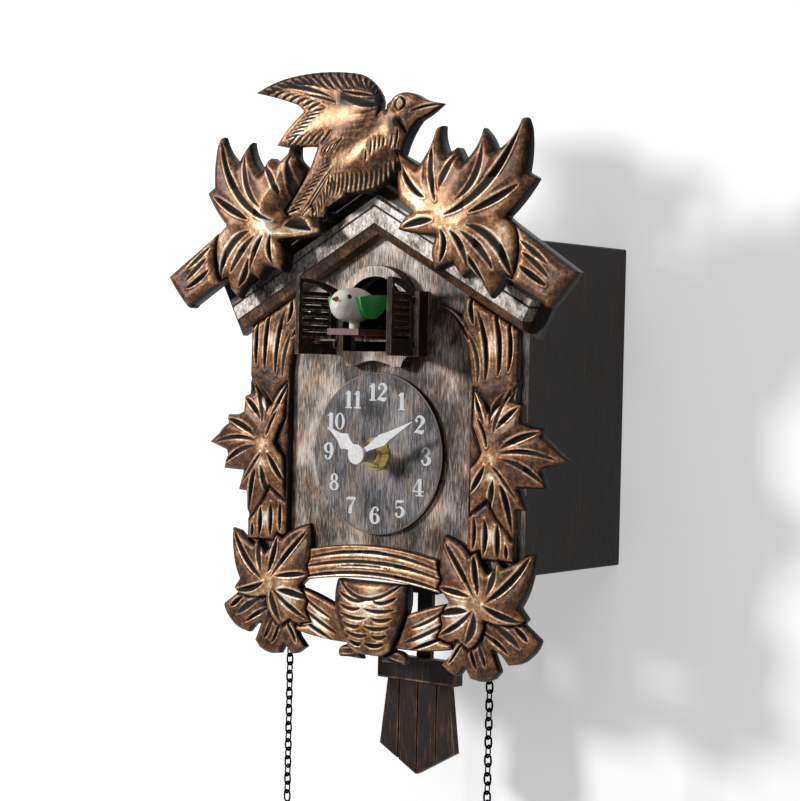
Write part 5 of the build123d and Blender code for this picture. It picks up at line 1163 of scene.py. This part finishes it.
@dataclass
class Mouldings:
    """The carved front: side vines, corner leaves, bar, nest, branches, crown leaves and bird."""

    # Middles of the right-hand ornaments and the bird from the dial's centre, mm
    vine: Pair = (64.4, 1.0)
    corner: Pair = (59.9, -61.7)
    crown: Pair = (48.7, 103.2)
    bird: Pair = (0.0, 130.0)
    bar_height: float = -47.0
    nest_top: float = -56.0
    crown_back: float = 94.5        # depth of the back from the wall, mm
    bird_back: float = 91.0

    def build(self) -> list[Piece]:
        """Carve every ornament and return the pieces."""
        jobs = []
        for side, hand in ((1, "right"), (-1, "left")):
            vine, corner, crown, branch = (
                (side * x, z + DIAL_Z) for x, z in (self.vine, self.corner, self.crown, (0.0, 0.0)))
            jobs += [
                Carving(f"vine_{hand}", vine, PANEL_FACE, SIDE_CUTS, side, heart=5.0,
                        hearts=[(0.0, 0.0), (0.0, -8.0), (-3.0, 48.0), (-1.0, -33.0)], roll=2.8),
                Carving(f"corner_leaf_{hand}", corner, PANEL_FACE, CORNER_CUTS, side,
                        heart=6.0, hearts=[(-1.0, 0.0), (-8.0, -1.0), (-12.0, -8.0)], roll=2.8),
                Carving(f"crown_leaf_{hand}", crown, self.crown_back, CROWN_CUTS, side,
                        heart=9.5, hearts=[(-1.0, 1.0), (5.0, -4.0), (-14.0, 6.0), (27.0, -10.0)],
                        roll=4.6, twin="crown_leaf_right" if hand == "left" else "",
                        under="crown_bird" if hand == "left" else ""),
                Carving(f"lower_branch_{hand}", branch, PANEL_FACE, BRANCH_CUTS, side, heart=7.0,
                        hearts=[(30.0, -76.0)], full_depth=3.4),
            ]
        jobs += [
            Carving("lower_bar", (0.0, DIAL_Z + self.bar_height), PANEL_FACE, BAR_CUTS, hearts=[],
                    full_depth=3.6, roll=1.2),
            Carving("nest", (0.0, DIAL_Z + self.nest_top), PANEL_FACE, NEST_CUTS, heart=7.0,
                    hearts=[(0.0, -14.0), (4.0, -6.0)]),
            Carving("crown_bird", (self.bird[0], self.bird[1] + DIAL_Z), self.bird_back,
                    bird_cuts(), heart=7.5, hearts=[], voxel=0.42, roll=2.6, soften=0.9,
                    shades=BIRD_SHADES),
        ]
        return [job.build(BRONZE) for job in jobs]


# ---------------------------------------------------------------- dial and numerals
STROKES: dict[str, list[list[Triple]]] = {
    "1": [[(0.0, 0.03, 0.13), (0.0, 0.98, 0.13)], [(-0.24, 0.03, 0.035), (0.24, 0.03, 0.035)],
          [(-0.24, 0.80, 0.03), (-0.12, 0.86, 0.05), (0.0, 0.96, 0.07)]],
    "2": [[(-0.22, 0.74, 0.04), (-0.1, 0.94, 0.05), (0.07, 0.95, 0.08), (0.18, 0.74, 0.13),
           (0.08, 0.5, 0.08), (-0.12, 0.24, 0.04), (-0.24, 0.07, 0.03)],
          [(-0.25, 0.07, 0.03), (-0.08, 0.12, 0.1), (0.12, 0.08, 0.1), (0.24, 0.22, 0.03)],
          [(-0.16, 0.72, 0.09)]],
    "3": [[(-0.2, 0.8, 0.04), (-0.05, 0.95, 0.05), (0.09, 0.93, 0.08), (0.16, 0.76, 0.12),
           (0.07, 0.58, 0.06), (-0.06, 0.53, 0.03)],
          [(-0.06, 0.53, 0.03), (0.09, 0.47, 0.07), (0.19, 0.27, 0.13), (0.09, 0.07, 0.08),
           (-0.06, 0.04, 0.05), (-0.2, 0.2, 0.04)],
          [(-0.16, 0.77, 0.085)], [(-0.16, 0.23, 0.085)]],
    "4": [[(0.08, 0.02, 0.12), (0.08, 0.98, 0.12)], [(0.02, 0.96, 0.03), (-0.26, 0.3, 0.03)],
          [(-0.29, 0.27, 0.035), (0.29, 0.27, 0.035)], [(-0.12, 0.03, 0.03), (0.28, 0.03, 0.03)]],
    "5": [[(-0.17, 0.93, 0.06), (0.0, 0.91, 0.085), (0.2, 0.95, 0.05)],
          [(-0.18, 0.95, 0.03), (-0.18, 0.52, 0.03)],
          [(-0.18, 0.5, 0.03), (0.0, 0.61, 0.05), (0.16, 0.47, 0.11), (0.18, 0.26, 0.13),
           (0.05, 0.06, 0.06), (-0.1, 0.05, 0.05), (-0.21, 0.18, 0.04)],
          [(-0.16, 0.2, 0.085)]],
    "6": [[(0.17, 0.88, 0.04), (0.02, 0.96, 0.04), (-0.12, 0.8, 0.09), (-0.19, 0.45, 0.13),
           (-0.14, 0.15, 0.11), (0.0, 0.04, 0.04), (0.13, 0.14, 0.09), (0.18, 0.3, 0.12),
           (0.12, 0.5, 0.07), (0.0, 0.57, 0.035), (-0.1, 0.5, 0.03)],
          [(0.145, 0.82, 0.08)]],
    "7": [[(-0.24, 0.76, 0.03), (-0.2, 0.9, 0.06), (0.0, 0.9, 0.09), (0.24, 0.94, 0.05)],
          [(0.24, 0.93, 0.03), (0.06, 0.56, 0.06), (-0.03, 0.28, 0.11), (-0.03, 0.03, 0.14)]],
}


def ring_stroke(x: float, y: float, wide: float, tall: float, thin: float,
                thick: float) -> list[Triple]:
    """Return a closed oval stroke that is thick at its sides.

    Args:
        x: Centre across.
        y: Centre up.
        wide: Half width.
        tall: Half height.
        thin: Half thickness at the top and bottom.
        thick: Half thickness added at the sides.

    Returns:
        The stroke's points with their half thickness.
    """
    angles = np.linspace(0, 2 * math.pi, 25)
    ring = [(x + wide * math.cos(a), y + tall * math.sin(a), thin + thick * math.cos(a) ** 2)
            for a in angles[:-1]]
    return ring + ring[:1]


STROKES["0"] = [ring_stroke(0.0, 0.5, 0.19, 0.455, 0.03, 0.075)]
STROKES["8"] = [ring_stroke(0.0, 0.74, 0.135, 0.21, 0.035, 0.05),
                ring_stroke(0.0, 0.27, 0.175, 0.235, 0.035, 0.065)]
STROKES["9"] = [[(-x, 1 - y, w) for x, y, w in stroke] for stroke in STROKES["6"]]


@dataclass
class Dial:
    """The round dial with its printed numerals and the brass washer and nut in its middle."""

    ring_radius: float = 27.4       # middle of the numerals, mm
    numeral_height: float = 7.8
    ink: float = 0.06               # ink's height above the dial
    ink_step: float = 0.02          # each further stroke of a digit lies that much higher
    digit_gap: float = 0.66         # share of the height from one digit's middle to the next
    spread: float = 1.35            # the round digits are that much wider than drawn

    def stroke(self, mesh: BMesh, points: list[Triple],
               origin: Pair, lift: float) -> None:
        """Lay one stroke of a digit on the dial.

        Args:
            mesh: The numerals' bmesh.
            points: The stroke's points with their half thickness, in digit units.
            origin: Foot of the digit's middle line, mm from the dial's centre.
            lift: Height of this stroke's top above the dial, mm.
        """
        scale = self.numeral_height
        if len(points) == 1:
            (x, y, w), = points
            where = Matrix.Translation(((origin[0] + scale * x) * MM, -(DIAL_FACE + lift) * MM,
                                        (origin[1] + scale * y + DIAL_Z) * MM))
            made = bmesh.ops.create_circle(mesh, cap_ends=True, segments=20,
                                           radius=scale * w * MM, matrix=where @ FACING)
            faces = list({face for vert in made["verts"] for face in vert.link_faces})
        else:
            smooth = self.spaced(np.array(points, float))
            tangents = np.gradient(smooth[:, :2], axis=0)
            tangents /= np.maximum(np.linalg.norm(tangents, axis=1), 1e-9)[:, None]
            normals = np.stack([-tangents[:, 1], tangents[:, 0]], 1)
            ring = points[0] == points[-1]
            if ring:
                smooth, normals = smooth[:-1], normals[:-1]
                normals[0] = (-1.0, 0.0)
            rows = []
            for (x, y, w), normal in zip(smooth, normals):
                pair = []
                for sign in (1, -1):
                    px = origin[0] + scale * (x + sign * w * normal[0])
                    pz = origin[1] + scale * (y + sign * w * normal[1])
                    pair.append(mesh.verts.new((px * MM, -(DIAL_FACE + lift) * MM,
                                                (pz + DIAL_Z) * MM)))
                rows.append(pair)
            if ring:
                rows.append(rows[0])
            faces = [mesh.faces.new((a[0], a[1], b[1], b[0])) for a, b in zip(rows, rows[1:])]
        thicken(mesh, faces, lift)

    def spaced(self, points: np.ndarray) -> np.ndarray:
        """Return a smooth run through a stroke's points."""
        if len(points) < 3 or len(points) > 20:
            return points
        padded = np.vstack([2 * points[0] - points[1], points, 2 * points[-1] - points[-2]])
        run = []
        for k in range(1, len(padded) - 2):
            before, here, after, beyond = padded[k - 1:k + 3]
            for t in np.linspace(0, 1, 7)[:-1]:
                run.append(0.5 * (2 * here + (after - before) * t
                                  + (2 * before - 5 * here + 4 * after - beyond) * t ** 2
                                  + (3 * here - before - 3 * after + beyond) * t ** 3))
        run.append(points[-1])
        return np.array(run)

    def build(self) -> Piece:
        """Print the numerals and dress the dial."""
        paint_nodes(DIAL_GROUND, "dial")
        paint_nodes(BRASS, "dial_washer", "dial_nut", "movement_bush")
        mesh = bmesh.new()
        for hour in range(1, 13):
            angle = math.radians(30 * hour)
            x, z = self.ring_radius * math.sin(angle), self.ring_radius * math.cos(angle)
            digits = str(hour)
            for index, digit in enumerate(digits):
                shift = (index - (len(digits) - 1) / 2) * self.digit_gap * self.numeral_height
                wide = 1.0 if digit == "1" else self.spread
                for order, drawn in enumerate(STROKES[digit]):
                    points = [(px * wide, py, width) for px, py, width in drawn]
                    self.stroke(mesh, points, (x + shift, z - self.numeral_height / 2),
                                self.ink + self.ink_step * order)
        numerals = to_object(mesh, "dial_numerals", NUMERAL_INK, "clock_body", smooth=False)
        return numerals


@dataclass
class Hands:
    """The white hands with their cap and collar, and the knob behind that sets them."""

    # Outlines from the axis to the tip: distance along the hand, half width on each side, mm
    hour: tuple[Triple, ...] = (
        (0.0, 2.0, 2.0), (5.4, 1.8, 1.8), (7.8, 2.4, 2.4), (10.4, 4.0, 4.0), (13.8, 1.9, 1.9),
        (21.6, 0.15, 0.15))
    minute: tuple[Triple, ...] = (
        (0.0, 1.5, 1.5), (6.0, 1.1, 1.1), (12.0, 2.3, 2.2), (15.2, 2.7, 2.8), (18.4, 1.9, 1.9),
        (33.4, 0.15, 0.15))
    hour_angle: float = 301.7       # degrees from twelve o'clock
    minute_angle: float = 62.6
    hour_plane: float = 94.6        # depth of each hand's middle from the wall, mm
    minute_plane: float = 96.0
    thickness: float = 0.7
    hub_radius: float = 2.9
    cap_radius: float = 4.4
    cap: Pair = (96.2, 97.8)         # depths of its back and front from the wall
    collar_radius: float = 3.6
    collar: Pair = (88.4, 94.2)

    def blade(self, name: str, outline: tuple[Triple, ...], angle: float,
              plane: float, body: str, node: str) -> Piece:
        """Stamp one hand.

        Args:
            name: The piece's name.
            outline: Its half widths along its length.
            angle: Degrees clockwise from twelve o'clock.
            plane: Depth of its middle from the wall, mm.
            body: The body that it moves with.
            node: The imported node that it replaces.

        Returns:
            The hand.
        """
        mesh = bmesh.new()
        left = [(-wide, along) for along, wide, _ in outline]
        right = [(wide, along) for along, _, wide in outline]
        verts = [mesh.verts.new((x * MM, 0, z * MM)) for x, z in right + left[::-1]]
        thicken(mesh, [mesh.faces.new(verts)], self.thickness)
        bmesh.ops.recalc_face_normals(mesh, faces=mesh.faces)
        front = [e for e in mesh.edges if all(abs(v.co.y) < 1e-6 for v in e.verts)]
        round_off(mesh, front, 0.1)
        turn = Matrix.Rotation(math.radians(angle), 4, "Y")
        place = Matrix.Translation((0, -(plane + self.thickness / 2) * MM, DIAL_Z * MM))
        bmesh.ops.transform(mesh, verts=mesh.verts, matrix=place @ turn)
        add_rod(mesh, 40, self.hub_radius, plane, self.thickness)
        hand = to_object(mesh, name, HAND_ENAMEL, body, smooth=False)
        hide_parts(node)
        return hand

    def turned(self, name: str, radius: float, ends: Pair, finish: Finish,
               body: str) -> Piece:
        """Turn a short round piece on the hands' axis.

        Args:
            name: The piece's name.
            radius: Its radius, mm.
            ends: Depths of its back and front from the wall, mm.
            finish: Its finish.
            body: The body that it moves with.

        Returns:
            The piece.
        """
        mesh = bmesh.new()
        add_rod(mesh, 48, radius, (ends[0] + ends[1]) / 2, ends[1] - ends[0])
        round_off(mesh, [e for e in mesh.edges if e.calc_face_angle(0.0) > 1.0], 0.25, 3)
        piece = to_object(mesh, name, finish, body, smooth=False)
        return piece

    def build(self) -> None:
        """Stamp the hands, turn the cap and the collar, and dress the knob."""
        self.blade("hour_blade", self.hour, self.hour_angle, self.hour_plane, "hour_arm",
                   "hour_hand")
        self.blade("minute_blade", self.minute, self.minute_angle, self.minute_plane,
                   "minute_arm", "minute_hand")
        paint_nodes(BLACK_ABS, "setting_knob")
        self.turned("hand_collar", self.collar_radius, self.collar, COLLAR, "clock_body")
        self.turned("hand_cap", self.cap_radius, self.cap, HAND_ENAMEL, "minute_arm")


# ---------------------------------------------------------------- case, roof, doors
@dataclass
class Housing:
    """The case with its panel, roof boards and door surround."""

    strip_ends: Pair = (-2.0, -54.0)     # at the ridge and below, mm across
    strip_edges: Pair = (27.6, 32.0)     # above the boards' underside, mm
    strip_back: float = 77.4                            # depth from the wall, mm
    strip_front: float = 80.1

    def ridge_strip(self) -> Piece:
        """Make a black strip behind the bird and the left crown leaf, which stands in for the shade
        behind them.
        """
        slope = math.radians(ROOF_PITCH)
        (inner, outer), (low, high) = self.strip_ends, self.strip_edges
        mesh = bmesh.new()
        corners = []
        for x, across in ((inner, low), (outer, low), (outer, high), (inner, high)):
            height = ROOF_APEX + (across - abs(x) * math.sin(slope)) / math.cos(slope)
            corners.append(mesh.verts.new((x * MM, -self.strip_back * MM, height * MM)))
        thicken(mesh, [mesh.faces.new(corners)], self.strip_back - self.strip_front)
        bmesh.ops.recalc_face_normals(mesh, faces=mesh.faces)
        round_off(mesh, mesh.edges[:], 0.3)
        strip = to_object(mesh, "ridge_strip", BLACK_ABS, "clock_body", smooth=False)
        return strip

    def build(self) -> None:
        """Dress the housing, with worn edges on the doors and their surround."""
        paint_nodes(WOODGRAIN, "case")
        paint_nodes(PANEL, "front_panel")
        for hand in ("right", "left"):
            paint_nodes(ROOF, f"roof_{hand}")
            edged(f"door_{hand}", DOOR_PAINT, f"door_leaf_{hand}")
            paint_nodes(WIRE, f"door_link_{hand}")
        # A black strip stands in for the shade behind the bird and the left crown leaf
        self.ridge_strip()
        edged("door_surround", SURROUND_PAINT, "clock_body", 0.8)
        paint_nodes(STEEL, "hinge_pins", "panel_screws")


@dataclass
class Works:
    """What the case holds: movement, sound unit, battery box and the cuckoo's drive."""

    cover: float = 3.0              # thickness of the back cover, mm
    pocket_half: float = 8.0        # half width of the moulded pocket behind the keyhole
    pocket_low: float = -8.0        # its lower end from the hole's middle
    pocket_high: float = 13.0
    pocket_depth: float = 11.0
    pocket_wall: float = 1.2

    def hanger_pocket(self) -> Piece:
        """Mould the closed black pocket behind the keyhole, which the screw's head lies in; its
        black also stands in for the shade in the hole.
        """
        mesh = bmesh.new()
        size = (2 * self.pocket_half, self.pocket_depth, self.pocket_high - self.pocket_low)
        middle = (0, -self.cover - self.pocket_depth / 2, (self.pocket_high + self.pocket_low) / 2)
        bmesh.ops.create_cube(mesh, size=1.0, matrix=Matrix.Translation(Vector(middle) * MM)
                              @ Matrix.Diagonal((*(MM * side for side in size), 1.0)))
        mesh.normal_update()
        mouth = [face for face in mesh.faces if face.normal.y > 0.9]
        bmesh.ops.inset_region(mesh, faces=mouth, thickness=self.pocket_wall * MM)
        hollow = bmesh.ops.extrude_discrete_faces(mesh, faces=mouth)["faces"]
        bmesh.ops.translate(mesh, verts=hollow[0].verts[:],
                            vec=(0, (self.pocket_wall - self.pocket_depth) * MM, 0))
        pocket = to_object(mesh, "hanger_pocket", BLACK_ABS, "clock_body", smooth=False)
        return pocket

    def build(self) -> None:
        """Dress the works and the back."""
        # The black pocket also stands in for the shade in the keyhole
        self.hanger_pocket()
        paint_nodes(BLACK_ABS, "back_cover", "battery_lid", "battery_box", "sound_switch",
                    "speaker", "movement", "carriage_guide")
        paint_nodes(STEEL, "cover_screws", "battery_contacts", "drive_motor")
        paint_nodes(BOARD, "circuit_board")
        paint_nodes(NYLON, "drive_pinion")
        paint_nodes(BLACK_STEEL, "pendulum_axle", "pendulum_hanger", "pendulum_rod", "chain_eyes")
        paint_nodes(MAUVE, "cuckoo_carriage")
        for node in ("pendulum_block", "pendulum_bob"):
            edged(node, PENDULUM_PAINT, "pendulum", 0.5)


@dataclass
class Cuckoo:
    """The ivory cuckoo with green wings, a red beak and black eyes."""

    eye_radius: float = 1.35        # mm
    eye_flatness: float = 0.75      # share of the radius that is left across
    eye_across: float = 4.6         # from the bird's middle plane, mm
    eye_depth: float = 110.2        # from the wall, mm
    eye_height: float = 68.5        # above the dial's centre, mm

    def build(self) -> Piece:
        """Dress the bird and set its eyes."""
        paint_nodes(IVORY, "cuckoo_body")
        paint_nodes(LEAF_GREEN, "cuckoo_wings")
        paint_nodes(ROSE, "cuckoo_beak")
        mesh = bmesh.new()
        for side in (1, -1):
            place = Matrix.Translation((side * self.eye_across * MM, -self.eye_depth * MM,
                                        (DIAL_Z + self.eye_height) * MM))
            lens = Matrix.Diagonal((self.eye_flatness, 1.0, 1.0, 1.0))
            bmesh.ops.create_uvsphere(mesh, u_segments=20, v_segments=12,
                                      radius=self.eye_radius * MM, matrix=place @ lens)
        eyes = to_object(mesh, "cuckoo_eyes", EYE_BLACK, "cuckoo")
        return eyes


# ---------------------------------------------------------------- chains and cones
@dataclass
class Chain:
    """A run of bent wire links, each turned a quarter from the last."""

    hand: str
    x: float                        # mm to the right of the middle
    depth: float = 72.3             # from the wall, mm
    first: float = -49.2 - 6.0 - 3.55       # first link's middle, mm from the dial
    pitch: float = 4.0
    count: int = 26
    wire: float = 0.55              # radius of the wire
    width: float = 4.4
    play: float = 0.1               # a link's opening is this much longer than the pitch

    def build(self) -> Piece:
        """Bend the links and dress them."""
        mesh = bmesh.new()
        for link in range(self.count):
            verts = bend_link(mesh, self.wire, self.width / 2 - self.wire, self.pitch + self.play,
                              steps=12)
            turn = Matrix.Rotation(math.pi / 2 * (link % 2), 4, "Z")
            height = DIAL_Z + self.first - link * self.pitch
            bmesh.ops.transform(mesh, verts=verts, matrix=Matrix.Translation(
                (self.x * MM, -self.depth * MM, height * MM)) @ turn)
        chain = to_object(mesh, f"chain_{self.hand}_links", BLACK_STEEL, f"weight_line_{self.hand}")
        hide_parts(f"chain_{self.hand}")
        return chain


@dataclass
class Cone:
    """A pine-cone weight: a core with rows of overlapping scales, a cap and an eye."""

    hand: str
    x: float                        # mm to the right of the middle
    depth: float = 72.3             # from the wall, mm
    rows: int = 13
    swell: tuple[float, ...] = (0.5, 0.78, 0.95, 1.0, 0.96, 0.84, 0.64, 0.4)
    radius: float = 13.2            # at the swell's fullest place, mm
    cap_space: float = 9.6          # from the top of the eye to the top of the core, mm
    core_gap: float = 3.2           # the core lies that far inside the scales' crowns
    core_end: float = 1.6           # its radius at both ends
    core_least: float = 1.4
    seat: float = 2.1               # a scale's middle lies that far inside the girth
    first_row: float = 2.6          # from the core's top down to the first row
    row_space: float = 5.6          # of the core's length that the rows leave free
    cap: Triple = (3.5, 2.4, 3.2)   # radius below and above, and height
    cap_rise: float = 1.2           # of its middle above the core's top
    eye_drop: float = 3.15          # of the eye's middle below its top
    flank: float = 2.6              # the paint's height is counted from this far inside
    scale_pitch: float = 6.4        # mm round the cone
    scale: Triple = (1.5, 3.5, 3.1)     # half depth, width and height, mm
    scale_lean: float = -24.0       # degrees
    eye: Triple = (0.55, 1.65, 4.1)     # wire, bend and opening, mm

    def girth(self, t: float) -> float:
        """Return the cone's radius at a share of its height from the top, mm."""
        place = t * (len(self.swell) - 1)
        index = min(int(place), len(self.swell) - 2)
        share = place - index
        return self.radius * (self.swell[index] * (1 - share) + self.swell[index + 1] * share)

    def add_core(self, mesh: BMesh, top: float, bottom: float) -> None:
        """Add the core, drawn in so that the scales stand proud of it.

        Args:
            mesh: The cone's bmesh.
            top: Height of its top, mm.
            bottom: Height of its bottom, mm.
        """
        height = top - bottom
        bmesh.ops.create_cone(mesh, cap_ends=True, segments=20, radius1=1.0 * MM,
                              radius2=1.0 * MM, depth=height * MM)
        upright = [e for e in mesh.edges if abs(e.verts[0].co.z - e.verts[1].co.z) > 1e-5]
        bmesh.ops.subdivide_edges(mesh, edges=upright, cuts=14, use_grid_fill=False)
        for vert in mesh.verts:
            t = min(max(0.5 - vert.co.z / (height * MM), 0), 1)
            grown = (self.girth(t) - self.core_gap) if 0.02 < t < 0.98 else self.core_end
            flat = Vector((vert.co.x, vert.co.y))
            if flat.length > 1e-6:
                vert.co.x, vert.co.y = flat.normalized() * max(grown, self.core_least) * MM
        bmesh.ops.translate(mesh, verts=mesh.verts, vec=(0, 0, (top + bottom) / 2 * MM))

    def add_scales(self, mesh: BMesh, top: float, height: float) -> None:
        """Lay the rows of scales, each row turned by half a scale from the last.

        Args:
            mesh: The cone's bmesh.
            top: Height of the core's top, mm.
            height: Length of the core, mm.
        """
        lean = Matrix.Rotation(math.radians(self.scale_lean), 4, "Y")
        shape = Matrix.Diagonal((*self.scale, 1.0))
        for row in range(self.rows):
            t = 0.03 + 0.92 * row / (self.rows - 1)
            around = max(6, round(2 * math.pi * self.girth(t) / self.scale_pitch))
            lift = (top - self.first_row - t * (height - self.row_space)) * MM
            for index in range(around):
                turn = Matrix.Rotation(2 * math.pi * (index + 0.5 * (row % 2)) / around, 4, "Z")
                out = Matrix.Translation(((self.girth(t) - self.seat) * MM, 0, 0))
                bmesh.ops.create_uvsphere(
                    mesh, u_segments=8, v_segments=6, radius=1.0 * MM,
                    matrix=Matrix.Translation((0, 0, lift)) @ turn @ out @ lean @ shape)

    def build(self) -> Piece:
        """Lay the scales round the core, add the cap and the eye, and dress the cone."""
        low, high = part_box(f"weight_{self.hand}")
        top, bottom = high.z / MM - self.cap_space, low.z / MM
        height = top - bottom
        mesh = bmesh.new()
        self.add_core(mesh, top, bottom)
        self.add_scales(mesh, top, height)
        lower, upper, tall = (side * MM for side in self.cap)
        bmesh.ops.create_cone(mesh, cap_ends=True, segments=18, radius1=lower, radius2=upper,
                              depth=tall,
                              matrix=Matrix.Translation((0, 0, (top + self.cap_rise) * MM)))
        eye = bend_link(mesh, *self.eye, steps=14)
        bmesh.ops.translate(mesh, verts=eye, vec=(0, 0, high.z - self.eye_drop * MM))
        bmesh.ops.translate(mesh, verts=mesh.verts, vec=(self.x * MM, -self.depth * MM, 0))
        cone = to_object(mesh, f"weight_{self.hand}_cone", BRONZE, f"weight_line_{self.hand}")
        # Paint: black between the scales, rubbed on their crowns
        proud = []
        for vert in cone.data.vertices:
            out = math.hypot(vert.co.x / MM - self.x, vert.co.y / MM + self.depth)
            t = min(max((top - vert.co.z / MM) / height, 0), 1)
            proud.append(out - (self.girth(t) - self.flank))
        mark(cone.data, "cut", np.clip(0.9 - np.array(proud) / 1.8, 0.0, 1.0))
        mark(cone.data, "rub", np.clip(0.30 + np.array(proud) / 6.0, 0.0, 0.8))
        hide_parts(f"weight_{self.hand}")
        return cone


# ---------------------------------------------------------------- studio
class Ground(Enum):
    """The two plain surfaces round the clock."""

    WALL = "wall"
    FLOOR = "floor"


@dataclass
class Studio:
    """The plain pale wall and floor, the lamps and the camera."""

    camera_place: Triple = (0.553309, -0.791973, -0.033304)     # metres
    azimuth: float = 37.33          # degrees to the right of straight on
    pitch: float = 1.09             # degrees down
    roll: float = 1.27
    lens: float = 90.94             # mm
    wall_gap: float = 0.0006        # metres
    glow: float = 0.42              # of the backdrop, to the eye alone

    def backdrop(self) -> Material:
        """Make the backdrop's matt pale paint, which is seen from its front only."""
        made = bpy.data.materials.new("matt_wall_paint")
        tree = empty_tree(made)
        path = add(tree, "LightPath").outputs
        side = add(tree, "NewGeometry").outputs["Backfacing"]
        seen = add(tree, "Math", {0: path["Is Camera Ray"], 1: path["Is Glossy Ray"]},
                   operation="MAXIMUM")
        seen = add(tree, "Math", {0: seen, 1: path["Is Transmission Ray"]}, operation="MAXIMUM")
        front = add(tree, "Math", {0: 1.0, 1: side}, operation="SUBTRACT")
        shown = add(tree, "Math", {0: seen, 1: front}, operation="MULTIPLY")
        paint = add(tree, "BsdfDiffuse", {"Color": (0.86, 0.86, 0.86, 1.0)})
        light = add(tree, "Emission", {"Strength": self.glow})
        both = add(tree, "AddShader", {0: paint, 1: light})
        mix = add(tree, "MixShader", {0: shown, 1: add(tree, "BsdfTransparent"), 2: both})
        add(tree, "OutputMaterial", {"Surface": mix})
        return made

    def surround(self, paint: Material) -> None:
        """Stand up the wall and lay the floor.

        Args:
            paint: What both are painted with.
        """
        for ground in Ground:
            place = {Ground.WALL: Matrix.Translation((0, self.wall_gap, 0.3)) @ FACING,
                     Ground.FLOOR: Matrix.Translation((0, self.wall_gap - 2.0, -0.7))}[ground]
            mesh = bmesh.new()
            bmesh.ops.create_grid(mesh, x_segments=1, y_segments=1, size=2.0, matrix=place)
            data = bpy.data.meshes.new(ground.value)
            mesh.to_mesh(data)
            mesh.free()
            data.materials.append(paint)
            plane = put(ground.value, data)

    def world(self) -> bpy.types.World:
        """Make a world that is white to the eye and lights the clock only faintly."""
        made = bpy.data.worlds.new("studio")
        tree = empty_tree(made)
        path = add(tree, "LightPath")
        soft = add(tree, "Background", {"Color": (0.97, 0.98, 1.0, 1.0), "Strength": 0.15})
        white = add(tree, "Background", {"Color": (1.0, 1.0, 1.0, 1.0), "Strength": 1.0})
        mix = add(tree, "MixShader", {0: path.outputs["Is Camera Ray"], 1: soft, 2: white})
        add(tree, "OutputWorld", {"Surface": mix})
        return made

    def camera(self) -> Piece:
        """Set up the camera."""
        lens = bpy.data.cameras.new("camera")
        lens.lens = self.lens
        lens.sensor_width = 36.0
        camera = put("camera", lens)
        a, p, r = (math.radians(v) for v in (self.azimuth, self.pitch, self.roll))
        back = Vector((math.sin(a) * math.cos(p), -math.cos(a) * math.cos(p), math.sin(p)))
        right = (-back).cross(Vector((0, 0, 1))).normalized()
        up = right.cross(-back)
        across = right * math.cos(r) + up * math.sin(r)
        upward = -right * math.sin(r) + up * math.cos(r)
        camera.matrix_world = Matrix.Translation(self.camera_place) @ Matrix(
            (across, upward, back)).transposed().to_4x4()
        return camera

    def build(self) -> None:
        """Set up wall, floor, world, lamps and camera."""
        scene = bpy.context.scene
        self.surround(self.backdrop())
        scene.world = self.world()
        self.lamp("key_lamp", -40.0, 17.0, 1.6, 0.24, 19.0)
        self.lamp("fill_lamp", 15.0, 20.0, 1.9, 0.7, 2.4)
        self.lamp("top_lamp", -10.0, 70.0, 1.6, 0.8, 4.0)
        self.lamp("back_lamp", 190.0, 30.0, 1.8, 0.9, 12.0)
        scene.camera = self.camera()
        scene.view_settings.view_transform = "Standard"

    def lamp(self, name: str, azimuth: float, elevation: float, distance: float, size: float,
             power: float) -> None:
        """Hang one soft lamp that looks at the clock.

        Args:
            name: The lamp's name.
            azimuth: Degrees to the right of straight in front.
            elevation: Degrees up.
            distance: From the dial, metres.
            size: Side of its square, metres.
            power: Watts.
        """
        light = bpy.data.lights.new(name, "AREA")
        light.shape = "SQUARE"
        light.size = size
        light.energy = power
        lamp = put(name, light)
        a, e = math.radians(azimuth), math.radians(elevation)
        out = Vector((math.sin(a) * math.cos(e), -math.cos(a) * math.cos(e), math.sin(e)))
        lamp.location = Vector((0, -0.05, DIAL_Z * MM)) + out * distance
        lamp.rotation_mode = "QUATERNION"
        lamp.rotation_quaternion = (-out).to_track_quat("-Z", "Y")


def main() -> None:
    """Build and dress the whole clock."""
    logging.basicConfig(level=logging.INFO, format="%(name)s %(message)s")
    Studio().build()
    Housing().build()
    Works().build()
    Dial().build()
    Hands().build()
    Cuckoo().build()
    Mouldings().build()
    for hand, side in (("right", 1), ("left", -1)):
        Chain(hand, side * 56.7).build()
        Cone(hand, side * 56.7).build()


if __name__ == "__main__":
    main()
